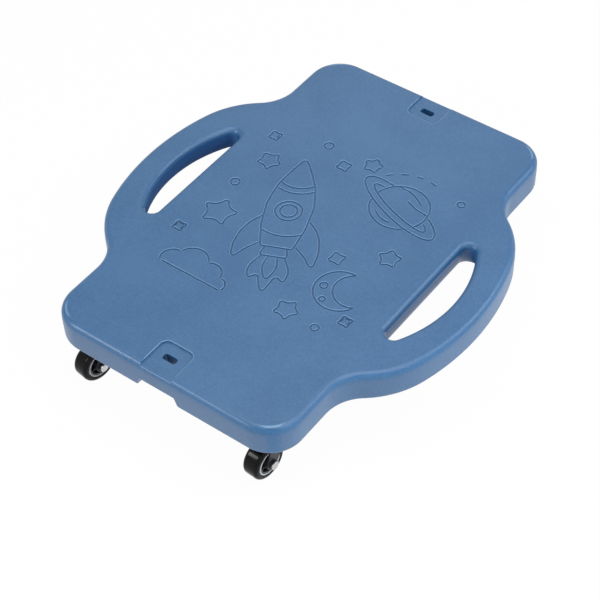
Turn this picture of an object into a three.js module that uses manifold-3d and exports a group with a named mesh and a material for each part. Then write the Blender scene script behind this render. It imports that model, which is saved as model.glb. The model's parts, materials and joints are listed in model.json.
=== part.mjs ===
// A child's scooter board: a hollow blow-moulded deck with two hand slots, on four swivel casters.
// Millimetres, +Z up. X runs across the handles and Y along the board. The floor is z = 0.
import * as THREE from "three";
import { mergeVertices } from "three/addons/utils/BufferGeometryUtils.js";
import Module from "manifold-3d";

const wasm = await Module();
wasm.setup();

// General fits
const clearance = 0.3; // between pieces that touch
const overrun = 5; // how far a cut runs past the face that it opens
const mergeDistance = 0.001; // points nearer than this are one point

// Deck, overall
const deckLength = 580;
const deckWidth = 344; // between the straight sides
const handleSpan = 500.6; // across both handles
const deckThickness = 44.5;
const deckWall = 3.4;
const deckTopEdge = 8; // rounding of the upper edge
const deckBottomEdge = 7;
const deckDraft = 0.5; // how far the sides lean in from the parting line
const partingHeightShare = 0.64; // of the deck's thickness

// Deck outline: a corner, a hollow fillet, a shoulder and the handle's long arc
const cornerRadius = 44.6;
const handleFillet = 55;
const shoulderRadius = 122.7;
const handleRadius = 322.5;
const handleHalfAngle = THREE.MathUtils.degToRad(16.9); // of the long arc, to each side of the middle

// Hand slots
const gripWidth = 37.6; // from the slot to the handle's edge, at the middle
const slotWidth = 40.2;
const slotArcRadius = 172.5;
const slotEndRadius = 9.8;
const slotTopEdge = 9;
const slotBottomEdge = 27;

// Latch at each end: a shallow recess with a slot through its floor, over a notch in the underside
const latchWidth = 46;
const latchDepth = 2;
const latchCorner = 10;
const latchSlotLength = 19;
const latchSlotWidth = 9;
const latchSlotRadius = 3;
const frontLatchLength = 49;
const frontLatchShift = 4.5; // how far left of the deck's middle it sits
const frontLatchSlotInset = 29; // from the deck's end to the slot's middle
const rearLatchLength = 43;
const rearLatchSlotInset = 25.5;
const latches = [
  { along: -1, x: -frontLatchShift, length: frontLatchLength, slotInset: frontLatchSlotInset },
  { along: 1, x: 0, length: rearLatchLength, slotInset: rearLatchSlotInset },
];
const notchWidth = 64; // at the mouth
const notchLength = 46;
const notchDepth = 17.5;
const notchDraft = 6.8; // how far each side leans in
const notchCorner = 3; // at the ceiling

// Stiffening channels in the underside
const channelWidth = 22; // at the mouth
const channelDepth = 24;
const channelDraft = 5;
const channelLand = 22; // between the middle channel and the notches
const sideChannelOffset = 70; // from the deck's middle line
const sideChannelLength = 508;

// Casters
const kingpinSideInset = 44; // from the deck's straight side to the kingpin's axis
const kingpinEndInset = 50; // and from the deck's end
const casterTrail = 22; // from the kingpin's axis back to the wheel's
const deckHeight = 69; // underside of the deck above the floor
const casters = [
  { name: "front_left", across: -1, along: -1, swivel: THREE.MathUtils.degToRad(-8.5) },
  { name: "front_right", across: 1, along: -1, swivel: THREE.MathUtils.degToRad(-4) },
  { name: "rear_left", across: -1, along: 1, swivel: THREE.MathUtils.degToRad(-7) },
  { name: "rear_right", across: 1, along: 1, swivel: THREE.MathUtils.degToRad(-3) },
];

// Mounting plate
const plateSize = 56;
const plateThickness = 2.5;
const plateCorner = 6;
const plateSlotTravel = 3.6; // how much longer than wide a screw's slot is
const screwSpacing = 42; // between neighbouring screws

// Swivel bearing: balls between the plate's rim and the fork's
const racewayRadius = 17.4; // outside of both rims
const racewayWall = 1.8;
const racewayDepth = 2.2; // how far the plate's rim is pressed down
const ballRadius = 2;
const ballCount = 10;
const cageThickness = 1.2;
const cageWall = 0.3; // beside each ball

// Kingpin
const kingpinRadius = 4;
const kingpinHeadRadius = 7;
const kingpinHeadHeight = 2.6;
const kingpinSink = 1.2; // depth of the countersink in the plate
const kingpinFlare = 2; // how much wider the countersunk end is

// Fork
const forkSheet = 2;
const forkBend = 2; // inside radius of the bends between crown and legs
const forkEar = 7.6; // radius of the leg's end round the axle
const forkCorner = 3; // rounding of the legs' upper corners
const forkFront = 15; // how far the legs reach ahead of the kingpin's axis
const forkRear = 17.2; // and behind it
const wheelGap = 0.7; // between the wheel's side and the leg

// Wheel
const wheelRadius = 25;
const wheelWidth = 22.3;
const tyreShoulder = 4.6;
const tyreBevel = 1.2; // where the tyre's side meets the rim
const rimOuterRadius = 17.7;
const rimInnerRadius = 15.6;
const rimSetback = 0.5; // of the rim's face from the tyre's side
const hubWebThickness = 6;
const hubRimThickness = 1.8;
const hubRimSetback = 1.2;
const hubBossWall = 3.2;
const hubBossSetback = 0.6;

// Axle: a rivet, closed over a washer at its far end
const rivetRadius = 3.5;
const rivetHeadRadius = 6;
const rivetHeadHeight = 2.5;
const rivetEndRadius = 5.7;
const rivetEndHeight = 1.8;
const rivetChamfer = 0.6; // of both ends
const washerRadius = 6.1;
const washerThickness = 3;
const sleeveWall = 1.1;

// Screws
const screwRadius = 2.3;
const screwHeadRadius = 4.9;
const screwHeadHeight = 2.4;
const screwHeadTopShare = 0.6; // of the head's radius, where its rounding ends
const screwLength = 15;
const screwTip = 2;

// How finely round forms are cut
const wheelSides = 20;
const shoulderSteps = 2;
const hubSides = 14;
const pinSides = 10;
const screwSides = 6;
const ballSides = 4;
const racewaySides = 16;
const bendSteps = 2;
const earSteps = 6;

// The deck's outer form, and the hollow inside its wall, which is plainer
const outerForm = { offset: 0, edgeSteps: 3, arcSteps: 7, cornerSteps: 5, smallSteps: 2 };
const innerForm = { offset: deckWall, edgeSteps: 1, arcSteps: 4, cornerSteps: 3, smallSteps: 1 };

// Heights and radii that follow from the sizes above, on a caster
const plateTop = deckHeight + plateThickness;
const ballHeight = deckHeight - clearance - ballRadius;
const cageWidth = 2 * (ballRadius + cageWall);
const ballCircle = racewayRadius - racewayWall - clearance - cageWidth / 2;
const crownTop = ballHeight - ballRadius - clearance;
const crownBottom = crownTop - forkSheet;
const legInner = wheelWidth / 2 + wheelGap;
const legOuter = legInner + forkSheet;
const sleeveRadius = rivetRadius + clearance + sleeveWall;
const screwHeadTop = deckHeight - clearance;

const quarter = Math.PI / 2;
const full = 2 * Math.PI;

// A wheel stands on the flat of one of its facets
const wheelTurn = Math.PI / wheelSides;

// Solids and meshes

function solidOf(geometry) {
  const bare = geometry.clone();
  bare.deleteAttribute("normal");
  bare.deleteAttribute("uv");
  const merged = mergeVertices(bare, mergeDistance);
  return new wasm.Manifold(
    new wasm.Mesh({
      numProp: 3,
      vertProperties: merged.attributes.position.array,
      triVerts: new Uint32Array(merged.index.array),
    }),
  );
}

function geometryOf(solid) {
  const mesh = solid.getMesh();
  const geometry = new THREE.BufferGeometry();
  geometry.setAttribute("position", new THREE.BufferAttribute(mesh.vertProperties, 3));
  geometry.setIndex(new THREE.BufferAttribute(mesh.triVerts, 1));
  const flat = geometry.toNonIndexed();
  flat.computeVertexNormals();
  return flat;
}

function piece(name, solid, material) {
  const mesh = new THREE.Mesh(geometryOf(solid), material);
  mesh.name = name;
  return mesh;
}

function count(n) {
  return Array.from({ length: n }, (_, i) => i);
}

// Outlines made of arcs, with straight lines between arcs that don't meet

function pointOn(arc, share, inset) {
  const turn = Math.sign(arc.to - arc.from);
  const angle = arc.from + (arc.to - arc.from) * share;
  const radius = arc.radius - turn * inset;
  return new THREE.Vector2(arc.x + radius * Math.cos(angle), arc.y + radius * Math.sin(angle));
}

function arcsMeet(arc, next) {
  return pointOn(arc, 1, 0).distanceTo(pointOn(next, 0, 0)) < mergeDistance;
}

function outline(arcs, inset) {
  return arcs.flatMap((arc, k) => {
    const joined = arcsMeet(arc, arcs[(k + 1) % arcs.length]);
    return count(joined ? arc.steps : arc.steps + 1).map((i) => pointOn(arc, i / arc.steps, inset));
  });
}

function roundedRectangle(width, length, radius, steps) {
  const x = width / 2 - radius;
  const y = length / 2 - radius;
  return [
    { x, y, radius, from: 0, to: quarter, steps },
    { x: -x, y, radius, from: quarter, to: 2 * quarter, steps },
    { x: -x, y: -y, radius, from: 2 * quarter, to: 3 * quarter, steps },
    { x, y: -y, radius, from: 3 * quarter, to: full, steps },
  ];
}

// A closed solid through one outline at several levels, bottom first
function loft(arcs, levels) {
  const rings = levels.map(({ inset }) => outline(arcs, inset));
  const positions = rings.flatMap((ring, k) => ring.flatMap((p) => [p.x, p.y, levels[k].z]));
  const size = rings[0].length;
  const top = (rings.length - 1) * size;
  const floor = THREE.ShapeUtils.triangulateShape(rings[0], []);
  const lid = THREE.ShapeUtils.triangulateShape(rings[rings.length - 1], []);
  const faces = [
    ...floor.flatMap(([a, b, c]) => [c, b, a]),
    ...lid.flatMap(([a, b, c]) => [top + a, top + b, top + c]),
  ];
  count(rings.length - 1).forEach((k) =>
    count(size).forEach((i) => {
      const a = k * size + i;
      const b = k * size + ((i + 1) % size);
      faces.push(a, b, b + size, a, b + size, a + size);
    }),
  );
  const geometry = new THREE.BufferGeometry();
  geometry.setAttribute("position", new THREE.Float32BufferAttribute(positions, 3));
  geometry.setIndex(faces);
  return solidOf(geometry);
}

// Levels of a rounded edge that starts at a wall and ends on a level face. side is 1 for material
// inside the outline and -1 for a hole. offset moves the surface into the material.
function roundedEdge({ radius, wall, face, upper, offset, side, steps }) {
  const up = upper ? 1 : -1;
  const centre = { inset: wall + side * radius, z: face - up * radius };
  const levels = count(steps + 1).map((i) => {
    const angle = (i / steps) * quarter;
    return {
      inset: centre.inset - side * (radius - offset) * Math.cos(angle),
      z: centre.z + up * (radius - offset) * Math.sin(angle),
    };
  });
  return upper ? levels : levels.reverse();
}

function turned(profile, sides) {
  const points = profile.map(([radius, z]) => new THREE.Vector2(radius, z));
  return solidOf(new THREE.LatheGeometry(points, sides).rotateX(quarter));
}

function disc(radius, from, to, sides) {
  return turned(
    [
      [0, from],
      [radius, from],
      [radius, to],
      [0, to],
    ],
    sides,
  );
}

function ring(inner, outer, from, to, sides) {
  return turned(
    [
      [inner, from],
      [outer, from],
      [outer, to],
      [inner, to],
      [inner, from],
    ],
    sides,
  );
}

// Arcs of a tight belt round circles, which are given anticlockwise
function belt(circles) {
  const leans = circles.map((circle, i) => {
    const next = circles[(i + 1) % circles.length];
    const away = new THREE.Vector2(next.x - circle.x, next.y - circle.y);
    return away.angle() - Math.acos((circle.radius - next.radius) / away.length());
  });
  return circles.map((circle, i) => {
    const to = leans[i];
    const from = leans[(i + circles.length - 1) % circles.length];
    return { ...circle, from, to: from + ((to - from + 2 * full) % full) };
  });
}

// Deck

function deckArcs({ arcSteps, cornerSteps }) {
  const handleCentre = handleSpan / 2 - handleRadius;
  const reach = handleRadius - shoulderRadius;
  const shoulder = {
    x: handleCentre + reach * Math.cos(handleHalfAngle),
    y: reach * Math.sin(handleHalfAngle),
    radius: shoulderRadius,
  };
  const across = deckWidth / 2 + handleFillet - shoulder.x;
  const along = Math.sqrt((handleFillet + shoulderRadius) ** 2 - across ** 2);
  const shoulderEnd = Math.atan2(along, across);
  const fillet = { x: deckWidth / 2 + handleFillet, y: shoulder.y + along, radius: handleFillet };
  const quadrant = [
    { x: handleCentre, y: 0, radius: handleRadius, from: 0, to: handleHalfAngle, steps: Math.ceil(arcSteps / 2) },
    { ...shoulder, from: handleHalfAngle, to: shoulderEnd, steps: arcSteps - 2 },
    { ...fillet, from: Math.PI + shoulderEnd, to: Math.PI, steps: arcSteps - 2 },
    {
      x: deckWidth / 2 - cornerRadius,
      y: deckLength / 2 - cornerRadius,
      radius: cornerRadius,
      from: 0,
      to: quarter,
      steps: cornerSteps,
    },
  ];
  const mirrored = quadrant
    .map((arc) => ({ ...arc, x: -arc.x, from: Math.PI - arc.to, to: Math.PI - arc.from }))
    .reverse();
  const half = [...quadrant, ...mirrored];
  const otherHalf = half.map((arc) => ({
    ...arc,
    x: -arc.x,
    y: -arc.y,
    from: arc.from + Math.PI,
    to: arc.to + Math.PI,
  }));
  return [...half, ...otherHalf];
}

function deckBody(form) {
  const edge = { wall: deckDraft, offset: form.offset, side: 1, steps: form.edgeSteps };
  return loft(deckArcs(form), [
    ...roundedEdge({ ...edge, radius: deckBottomEdge, face: 0, upper: false }),
    { inset: form.offset, z: deckThickness * partingHeightShare },
    ...roundedEdge({ ...edge, radius: deckTopEdge, face: deckThickness, upper: true }),
  ]);
}

function slotArcs({ arcSteps, cornerSteps }) {
  const outermost = handleSpan / 2 - gripWidth;
  const arcCentre = outermost - slotArcRadius;
  const endX = outermost - slotWidth + slotEndRadius;
  const endY = Math.sqrt((slotArcRadius - slotEndRadius) ** 2 - (endX - arcCentre) ** 2);
  const meeting = Math.atan2(endY, endX - arcCentre);
  const end = { x: endX, radius: slotEndRadius, steps: cornerSteps };
  return [
    { x: arcCentre, y: 0, radius: slotArcRadius, from: -meeting, to: meeting, steps: arcSteps * 2 },
    { ...end, y: endY, from: meeting, to: Math.PI },
    { ...end, y: -endY, from: Math.PI, to: full - meeting },
  ];
}

// What the hand slot takes out of the right-hand side of the deck
function handSlot(form) {
  const edge = { wall: 0, offset: form.offset, side: -1, steps: form.edgeSteps };
  const lower = roundedEdge({ ...edge, radius: slotBottomEdge, face: 0, upper: false });
  const upper = roundedEdge({ ...edge, radius: slotTopEdge, face: deckThickness, upper: true });
  return loft(slotArcs(form), [
    { inset: lower[0].inset, z: -overrun },
    ...lower,
    ...upper,
    { inset: upper[upper.length - 1].inset, z: deckThickness + overrun },
  ]);
}

// What a latch takes out of the deck's end
function latch({ along, x, length, slotInset }, { offset, smallSteps }) {
  const end = along * (deckLength / 2 + overrun);
  const recessArcs = roundedRectangle(latchWidth, 2 * (length + overrun), latchCorner, smallSteps);
  const recess = loft(recessArcs, [
    { inset: -offset, z: deckThickness - latchDepth - offset },
    { inset: -offset, z: deckThickness + overrun },
  ]).translate([x, end, 0]);
  const mouthCorner = notchCorner + notchDraft;
  const notchArcs = roundedRectangle(notchWidth, 2 * (notchLength + overrun), mouthCorner, smallSteps);
  const notch = loft(notchArcs, [
    { inset: -offset, z: -overrun },
    { inset: -offset, z: 0 },
    { inset: notchDraft - offset, z: notchDepth + offset },
  ]).translate([x, end, 0]);
  const slotOutline = roundedRectangle(latchSlotLength, latchSlotWidth, latchSlotRadius, smallSteps);
  const slot = loft(slotOutline, [
    { inset: -offset, z: -overrun },
    { inset: -offset, z: deckThickness + overrun },
  ]).translate([x, along * (deckLength / 2 - slotInset), 0]);
  return wasm.Manifold.union([recess, notch, slot]);
}

function channel(length, x, { offset, smallSteps }) {
  return loft(roundedRectangle(channelWidth, length, channelWidth / 2, smallSteps), [
    { inset: -offset, z: -overrun },
    { inset: -offset, z: 0 },
    { inset: channelDraft - offset, z: channelDepth + offset },
  ]).translate([x, 0, 0]);
}

function channels(form) {
  const middleLength = deckLength - 2 * (notchLength + channelLand);
  return wasm.Manifold.union([
    channel(middleLength, 0, form),
    channel(sideChannelLength, sideChannelOffset, form),
    channel(sideChannelLength, -sideChannelOffset, form),
  ]);
}

function plateOutline() {
  return roundedRectangle(plateSize, plateSize, plateCorner, bendSteps);
}

// What seats the casters' plates flush in the underside
function plateSeats({ offset }) {
  const reach = clearance + offset;
  const seat = loft(plateOutline(), [
    { inset: -reach, z: -overrun },
    { inset: -reach, z: plateThickness + reach },
  ]);
  return wasm.Manifold.union(casterPlaces().map(([x, y]) => seat.translate([x, y, 0])));
}

// The screws' holes, which go through the wall over the seats
function pilotHoles() {
  const hole = disc(screwRadius + clearance, 0, plateThickness + clearance + 2 * deckWall, screwSides);
  const holes = casterPlaces().flatMap(([x, y]) =>
    screwPlaces().map(([screwX, screwY]) => hole.translate([x + screwX, y + screwY, 0])),
  );
  return wasm.Manifold.union(holes);
}

function deckForm(form) {
  const slot = handSlot(form);
  const ends = latches.map((place) => latch(place, form));
  const cuts = [slot, slot.rotate([0, 0, 180]), ...ends, channels(form), plateSeats(form)];
  return deckBody(form).subtract(wasm.Manifold.union(cuts));
}

function deckSolid() {
  return deckForm(outerForm).subtract(deckForm(innerForm)).subtract(pilotHoles());
}

// Where casters and screws go

function casterPlace({ across, along }) {
  return [across * (deckWidth / 2 - kingpinSideInset), along * (deckLength / 2 - kingpinEndInset)];
}

function casterPlaces() {
  return casters.map(casterPlace);
}

function screwPlaces() {
  const half = screwSpacing / 2;
  return [
    [half, half],
    [-half, half],
    [-half, -half],
    [half, -half],
  ];
}

// Caster, fixed pieces: the kingpin's axis is x = y = 0

function plateSolid() {
  const face = loft(plateOutline(), [
    { inset: 0, z: deckHeight },
    { inset: 0, z: plateTop },
  ]);
  const rim = ring(
    racewayRadius - racewayWall,
    racewayRadius,
    deckHeight - racewayDepth,
    plateTop,
    racewaySides,
  );
  const slotWidthHere = 2 * (screwRadius + clearance);
  const slotOutline = roundedRectangle(
    slotWidthHere + plateSlotTravel,
    slotWidthHere,
    slotWidthHere / 2,
    bendSteps,
  );
  const slot = loft(slotOutline, [
    { inset: 0, z: deckHeight - overrun },
    { inset: 0, z: plateTop + overrun },
  ]);
  const slots = screwPlaces().map(([x, y]) => slot.translate([x, y, 0]));
  const bore = kingpinRadius + clearance;
  const kingpinHole = turned(
    [
      [0, deckHeight - overrun],
      [bore, deckHeight - overrun],
      [bore, plateTop - kingpinSink],
      [bore + kingpinFlare, plateTop],
      [bore + kingpinFlare, plateTop + overrun],
      [0, plateTop + overrun],
    ],
    pinSides,
  );
  return face.add(rim).subtract(wasm.Manifold.union([...slots, kingpinHole]));
}

function screwSolid() {
  const headBottom = screwHeadTop - screwHeadHeight;
  const end = screwHeadTop + screwLength;
  return turned(
    [
      [0, headBottom],
      [screwHeadRadius * screwHeadTopShare, headBottom],
      [screwHeadRadius, screwHeadTop],
      [screwRadius, screwHeadTop],
      [screwRadius, end - screwTip],
      [0, end],
    ],
    screwSides,
  );
}

function kingpinSolid() {
  const headTop = crownBottom - clearance;
  return turned(
    [
      [0, headTop - kingpinHeadHeight],
      [kingpinHeadRadius - kingpinHeadHeight / 2, headTop - kingpinHeadHeight],
      [kingpinHeadRadius, headTop - kingpinHeadHeight / 2],
      [kingpinHeadRadius, headTop],
      [kingpinRadius, headTop],
      [kingpinRadius, plateTop - kingpinSink],
      [kingpinRadius + kingpinFlare, plateTop],
      [0, plateTop],
    ],
    pinSides,
  );
}

function ballRingSolid() {
  const cage = ring(
    ballCircle - cageWidth / 2,
    ballCircle + cageWidth / 2,
    ballHeight - cageThickness / 2,
    ballHeight + cageThickness / 2,
    ballCount,
  );
  const ball = solidOf(new THREE.SphereGeometry(ballRadius, ballSides, ballSides - 1).rotateX(quarter));
  const balls = count(ballCount).map((i) =>
    ball.translate([ballCircle, 0, ballHeight]).rotate([0, 0, (360 * i) / ballCount]),
  );
  return wasm.Manifold.union([cage, ...balls]);
}

// Caster, turning pieces

// The bent sheet seen along the board, open below
function forkArch(halfWidth, top, bend) {
  const arch = loft(roundedRectangle(2 * halfWidth, 2 * top, bend, bendSteps), [
    { inset: 0, z: -deckHeight },
    { inset: 0, z: deckHeight },
  ]);
  return arch.rotate([90, 0, 0]);
}

// The leg's side view, as wide as the fork and more
function legProfile() {
  const upper = { y: crownTop - forkCorner, radius: forkCorner, steps: bendSteps };
  const profile = belt([
    { x: -casterTrail, y: wheelRadius, radius: forkEar, steps: earSteps },
    { ...upper, x: forkFront - forkCorner },
    { ...upper, x: forkCorner - forkRear },
  ]);
  const side = loft(profile, [
    { inset: 0, z: -legOuter - overrun },
    { inset: 0, z: legOuter + overrun },
  ]);
  return side.rotate([90, 0, 90]);
}

function forkSolid() {
  const sheet = forkArch(legOuter, crownTop, forkBend + forkSheet).subtract(
    forkArch(legInner, crownBottom, forkBend),
  );
  const rimTop = deckHeight - racewayDepth - 2 * clearance;
  const crown = disc(racewayRadius, crownBottom, crownTop, racewaySides);
  const rim = ring(racewayRadius - racewayWall, racewayRadius, crownBottom, rimTop, racewaySides);
  const kingpinHole = disc(kingpinRadius + clearance, crownBottom - overrun, crownTop + overrun, pinSides);
  const reach = legOuter + overrun;
  const axleHole = disc(rivetRadius + clearance, -reach, reach, pinSides)
    .rotate([0, 90, 0])
    .translate([0, -casterTrail, wheelRadius]);
  return wasm.Manifold.union([sheet.intersect(legProfile()), crown, rim]).subtract(
    kingpinHole.add(axleHole),
  );
}

// Axle and wheel: the axle is the Z axis here, and z = 0 is the wheel's middle

function rivetSolid() {
  const head = -legOuter - clearance;
  const headEnd = head - rivetHeadHeight;
  const closed = legOuter + washerThickness + 2 * clearance;
  const closedEnd = closed + rivetEndHeight;
  return turned(
    [
      [0, headEnd],
      [rivetHeadRadius - rivetChamfer, headEnd],
      [rivetHeadRadius, headEnd + rivetChamfer],
      [rivetHeadRadius, head],
      [rivetRadius, head],
      [rivetRadius, closed],
      [rivetEndRadius, closed],
      [rivetEndRadius, closedEnd - rivetChamfer],
      [rivetEndRadius - rivetChamfer, closedEnd],
      [0, closedEnd],
    ],
    pinSides,
  );
}

function washerSolid() {
  const from = legOuter + clearance;
  return ring(rivetRadius + clearance, washerRadius, from, from + washerThickness, pinSides);
}

function sleeveSolid() {
  const end = legInner - clearance;
  return ring(rivetRadius + clearance, sleeveRadius, -end, end, pinSides);
}

// A ring turned from one half of its section, given from the middle outwards, and its mirror image
function mirroredRing(half, sides) {
  const other = half.map(([radius, z]) => [radius, -z]).reverse();
  return turned([...other, ...half, other[0]], sides);
}

function hubSolid() {
  const side = wheelWidth / 2;
  const bore = sleeveRadius + clearance;
  const outer = rimInnerRadius - clearance;
  const web = hubWebThickness / 2;
  return mirroredRing(
    [
      [outer, side - hubRimSetback],
      [outer - hubRimThickness, side - hubRimSetback],
      [outer - hubRimThickness, web],
      [bore + hubBossWall, web],
      [bore + hubBossWall, side - hubBossSetback],
      [bore, side - hubBossSetback],
    ],
    hubSides,
  );
}

function rimSolid() {
  const side = wheelWidth / 2 - rimSetback;
  return ring(rimInnerRadius, rimOuterRadius, -side, side, wheelSides);
}

function tyreSolid() {
  const side = wheelWidth / 2;
  const inner = rimOuterRadius + clearance;
  const outer = wheelRadius / Math.cos(wheelTurn);
  const shoulder = count(shoulderSteps + 1).map((i) => {
    const angle = (i / shoulderSteps) * quarter;
    return [
      outer - tyreShoulder + tyreShoulder * Math.cos(angle),
      side - tyreShoulder + tyreShoulder * Math.sin(angle),
    ];
  });
  return mirroredRing([...shoulder, [inner + tyreBevel, side], [inner, side - tyreBevel]], wheelSides);
}

// Materials

function paint(color, roughness, metalness) {
  return new THREE.MeshStandardMaterial({ color, roughness, metalness });
}

const materials = {
  deck: paint(0x5078a2, 0.5, 0),
  tyre: paint(0x121214, 0.28, 0),
  hub: paint(0x16181a, 0.45, 0),
  rim: paint(0xb4b8bb, 0.4, 0),
  fork: paint(0x24272c, 0.4, 0.4),
  steel: paint(0xb9bcc0, 0.3, 1),
  washer: paint(0x1c1e20, 0.4, 0.6),
};

// Assembly

const solids = {
  plate: plateSolid(),
  screw: screwSolid(),
  kingpin: kingpinSolid(),
  ballRing: ballRingSolid(),
  fork: forkSolid(),
  rivet: rivetSolid(),
  washer: washerSolid(),
  sleeve: sleeveSolid(),
  hub: hubSolid(),
  rim: rimSolid(),
  tyre: tyreSolid(),
};

function axleAndWheel(name) {
  const axle = new THREE.Group();
  axle.add(piece(name + "_axle_rivet", solids.rivet, materials.steel));
  axle.add(piece(name + "_axle_washer", solids.washer, materials.washer));
  axle.add(piece(name + "_axle_sleeve", solids.sleeve, materials.steel));
  const wheel = new THREE.Group();
  wheel.add(piece(name + "_hub", solids.hub, materials.hub));
  wheel.add(piece(name + "_rim", solids.rim, materials.rim));
  wheel.add(piece(name + "_tyre", solids.tyre, materials.tyre));
  wheel.rotation.z = wheelTurn;
  axle.add(wheel);
  axle.position.set(0, -casterTrail, wheelRadius);
  axle.rotation.y = quarter;
  return axle;
}

function caster({ name, swivel, ...corner }) {
  const fixed = new THREE.Group();
  fixed.add(piece(name + "_plate", solids.plate, materials.steel));
  fixed.add(piece(name + "_kingpin", solids.kingpin, materials.steel));
  fixed.add(piece(name + "_ball_ring", solids.ballRing, materials.steel));
  screwPlaces().forEach(([x, y], i) => {
    const screw = piece(name + "_screw_" + (i + 1), solids.screw, materials.steel);
    screw.position.set(x, y, 0);
    fixed.add(screw);
  });
  const turning = new THREE.Group();
  turning.add(piece(name + "_fork", solids.fork, materials.fork), axleAndWheel(name));
  turning.rotation.z = swivel;
  fixed.add(turning);
  fixed.position.set(...casterPlace(corner), 0);
  return fixed;
}

const board = new THREE.Group();
const deck = piece("deck", deckSolid(), materials.deck);
deck.position.z = deckHeight;
board.add(deck);
for (const place of casters) board.add(caster(place));

export default board;
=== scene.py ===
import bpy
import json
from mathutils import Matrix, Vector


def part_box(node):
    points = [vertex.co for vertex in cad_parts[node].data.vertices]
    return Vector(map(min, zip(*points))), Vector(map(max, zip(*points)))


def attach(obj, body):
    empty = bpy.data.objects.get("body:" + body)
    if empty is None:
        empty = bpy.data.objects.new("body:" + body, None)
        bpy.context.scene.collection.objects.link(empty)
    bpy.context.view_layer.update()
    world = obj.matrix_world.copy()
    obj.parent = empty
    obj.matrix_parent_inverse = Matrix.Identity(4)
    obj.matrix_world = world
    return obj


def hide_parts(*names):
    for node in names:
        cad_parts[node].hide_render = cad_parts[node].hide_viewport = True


bl_info = {
    "name": "Scooter board",
    "version": (1, 0, 0),
    "blender": (4, 5, 0),
    "location": "3D View > Sidebar > Scooter board",
    "description": "A moulded scooter board on four swivel casters, with its stage",
    "category": "Add Mesh",
}

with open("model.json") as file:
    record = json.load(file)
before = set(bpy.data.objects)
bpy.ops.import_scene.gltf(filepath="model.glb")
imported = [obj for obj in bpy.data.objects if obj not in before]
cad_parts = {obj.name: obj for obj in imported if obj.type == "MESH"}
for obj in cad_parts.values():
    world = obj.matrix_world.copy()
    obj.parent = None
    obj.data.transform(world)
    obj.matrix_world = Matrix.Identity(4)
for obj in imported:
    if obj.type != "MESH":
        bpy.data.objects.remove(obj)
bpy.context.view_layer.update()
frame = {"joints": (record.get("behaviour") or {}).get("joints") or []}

import json
from math import atan2, ceil, cos, hypot, pi, radians, sin, sqrt, tan

import bmesh
import bpy
from bpy.props import FloatProperty, FloatVectorProperty, IntProperty, PointerProperty
from mathutils import Matrix, Vector

DECK_LOW, DECK_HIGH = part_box("deck")
MM = 0.001
REACH = 5 * MM  # how far a cutting shape runs past the face that it opens
GAP = 0.3 * MM  # between pieces that touch
MERGE = 1e-6  # points nearer than this are one

CASTERS = ("front_left", "front_right", "rear_left", "rear_right")
JOINTS = {joint["name"]: joint for joint in frame["joints"]}
SCREW_SPOTS = ((21, 21), (-21, 21), (-21, -21), (21, -21))  # round a kingpin, in millimetres
TRAIL = 22 * MM  # from a kingpin back to its axle
AXLE_HEIGHT = 25 * MM
PLATE_THICKNESS = 2.5 * MM
COUNTERSINK = 1.3 * MM  # how far up the plate its countersink for the kingpin starts
FORK_TOP = 64.4 * MM
RACEWAY_WALL = 1.8 * MM
WHEEL_ROOM = 0.7 * MM  # between a wheel and the fork's legs
WASHER_THICKNESS = 3 * MM
ALONG_X = Matrix.Rotation(pi / 2, 4, "Y")  # lays what stands along Z down along X


# Sizes and colours that a user would change


def length(name, text, millimetres):
    default = millimetres * MM
    return FloatProperty(name=name, description=text, default=default, min=0, unit="LENGTH", precision=4)


def rotation(name, text, degrees):
    return FloatProperty(name=name, description=text, default=radians(degrees), unit="ROTATION")


def colour(name, text, default):
    return FloatVectorProperty(
        name=name, description=text, default=default, min=0, max=1, size=3, subtype="COLOR"
    )


def share(name, text, default):
    return FloatProperty(name=name, description=text, default=default, min=0, max=1, subtype="FACTOR")


def watts(name, lamp, default):
    return FloatProperty(name=name, description=f"Power of the {lamp}, in watts", default=default, min=0)


class DeckSizes(bpy.types.PropertyGroup):
    side: length("Side", "From the middle to the straight sides", 172)
    handle_radius: length("Handle radius", "Long arc of the handle's outside", 322.5)
    handle_angle: rotation("Handle angle", "Half of the handle's long arc", 16.9)
    shoulder_radius: length("Shoulder radius", "Arc between handle and hollow", 122.7)
    hollow_radius: length("Hollow radius", "Arc from the shoulder back to the side", 55)
    corner_radius: length("Corner radius", "Corners of the deck", 44.6)
    draft: length("Draft", "How far the sides lean in from the parting line", 0.5)
    parting: share("Parting height", "Height of the parting line in the deck's thickness", 0.64)
    top_edge: length("Upper edge", "Rounding of the upper edge", 8)
    bottom_edge: length("Lower edge", "Rounding of the lower edge", 7)
    grip: length("Grip", "From the hand slot to the handle's outside", 37.6)
    slot_width: length("Slot width", "Width of the hand slot", 40.2)
    slot_radius: length("Slot radius", "Arc of the slot's outer wall", 172.5)
    slot_end: length("Slot end", "Rounding of the slot's ends", 9.8)
    slot_top_edge: length("Slot upper edge", "Rounding of the slot's upper rim", 9)
    slot_bottom_edge: length("Slot lower edge", "Rounding of the slot's lower rim", 27)
    latch_width: length("Latch width", "Width of the latch recesses", 46)
    latch_depth: length("Latch depth", "Depth of the latch recesses", 2.8)
    groove_width: length("Groove width", "Width of the engraved lines", 4.2)
    groove_depth: length("Groove depth", "Depth of the engraved lines", 1.7)
    light: colour("Light blue", "The plastic's lighter tone", (0.034, 0.127, 0.279))
    dark: colour("Deep blue", "The plastic's deeper tone", (0.015, 0.094, 0.231))


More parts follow.
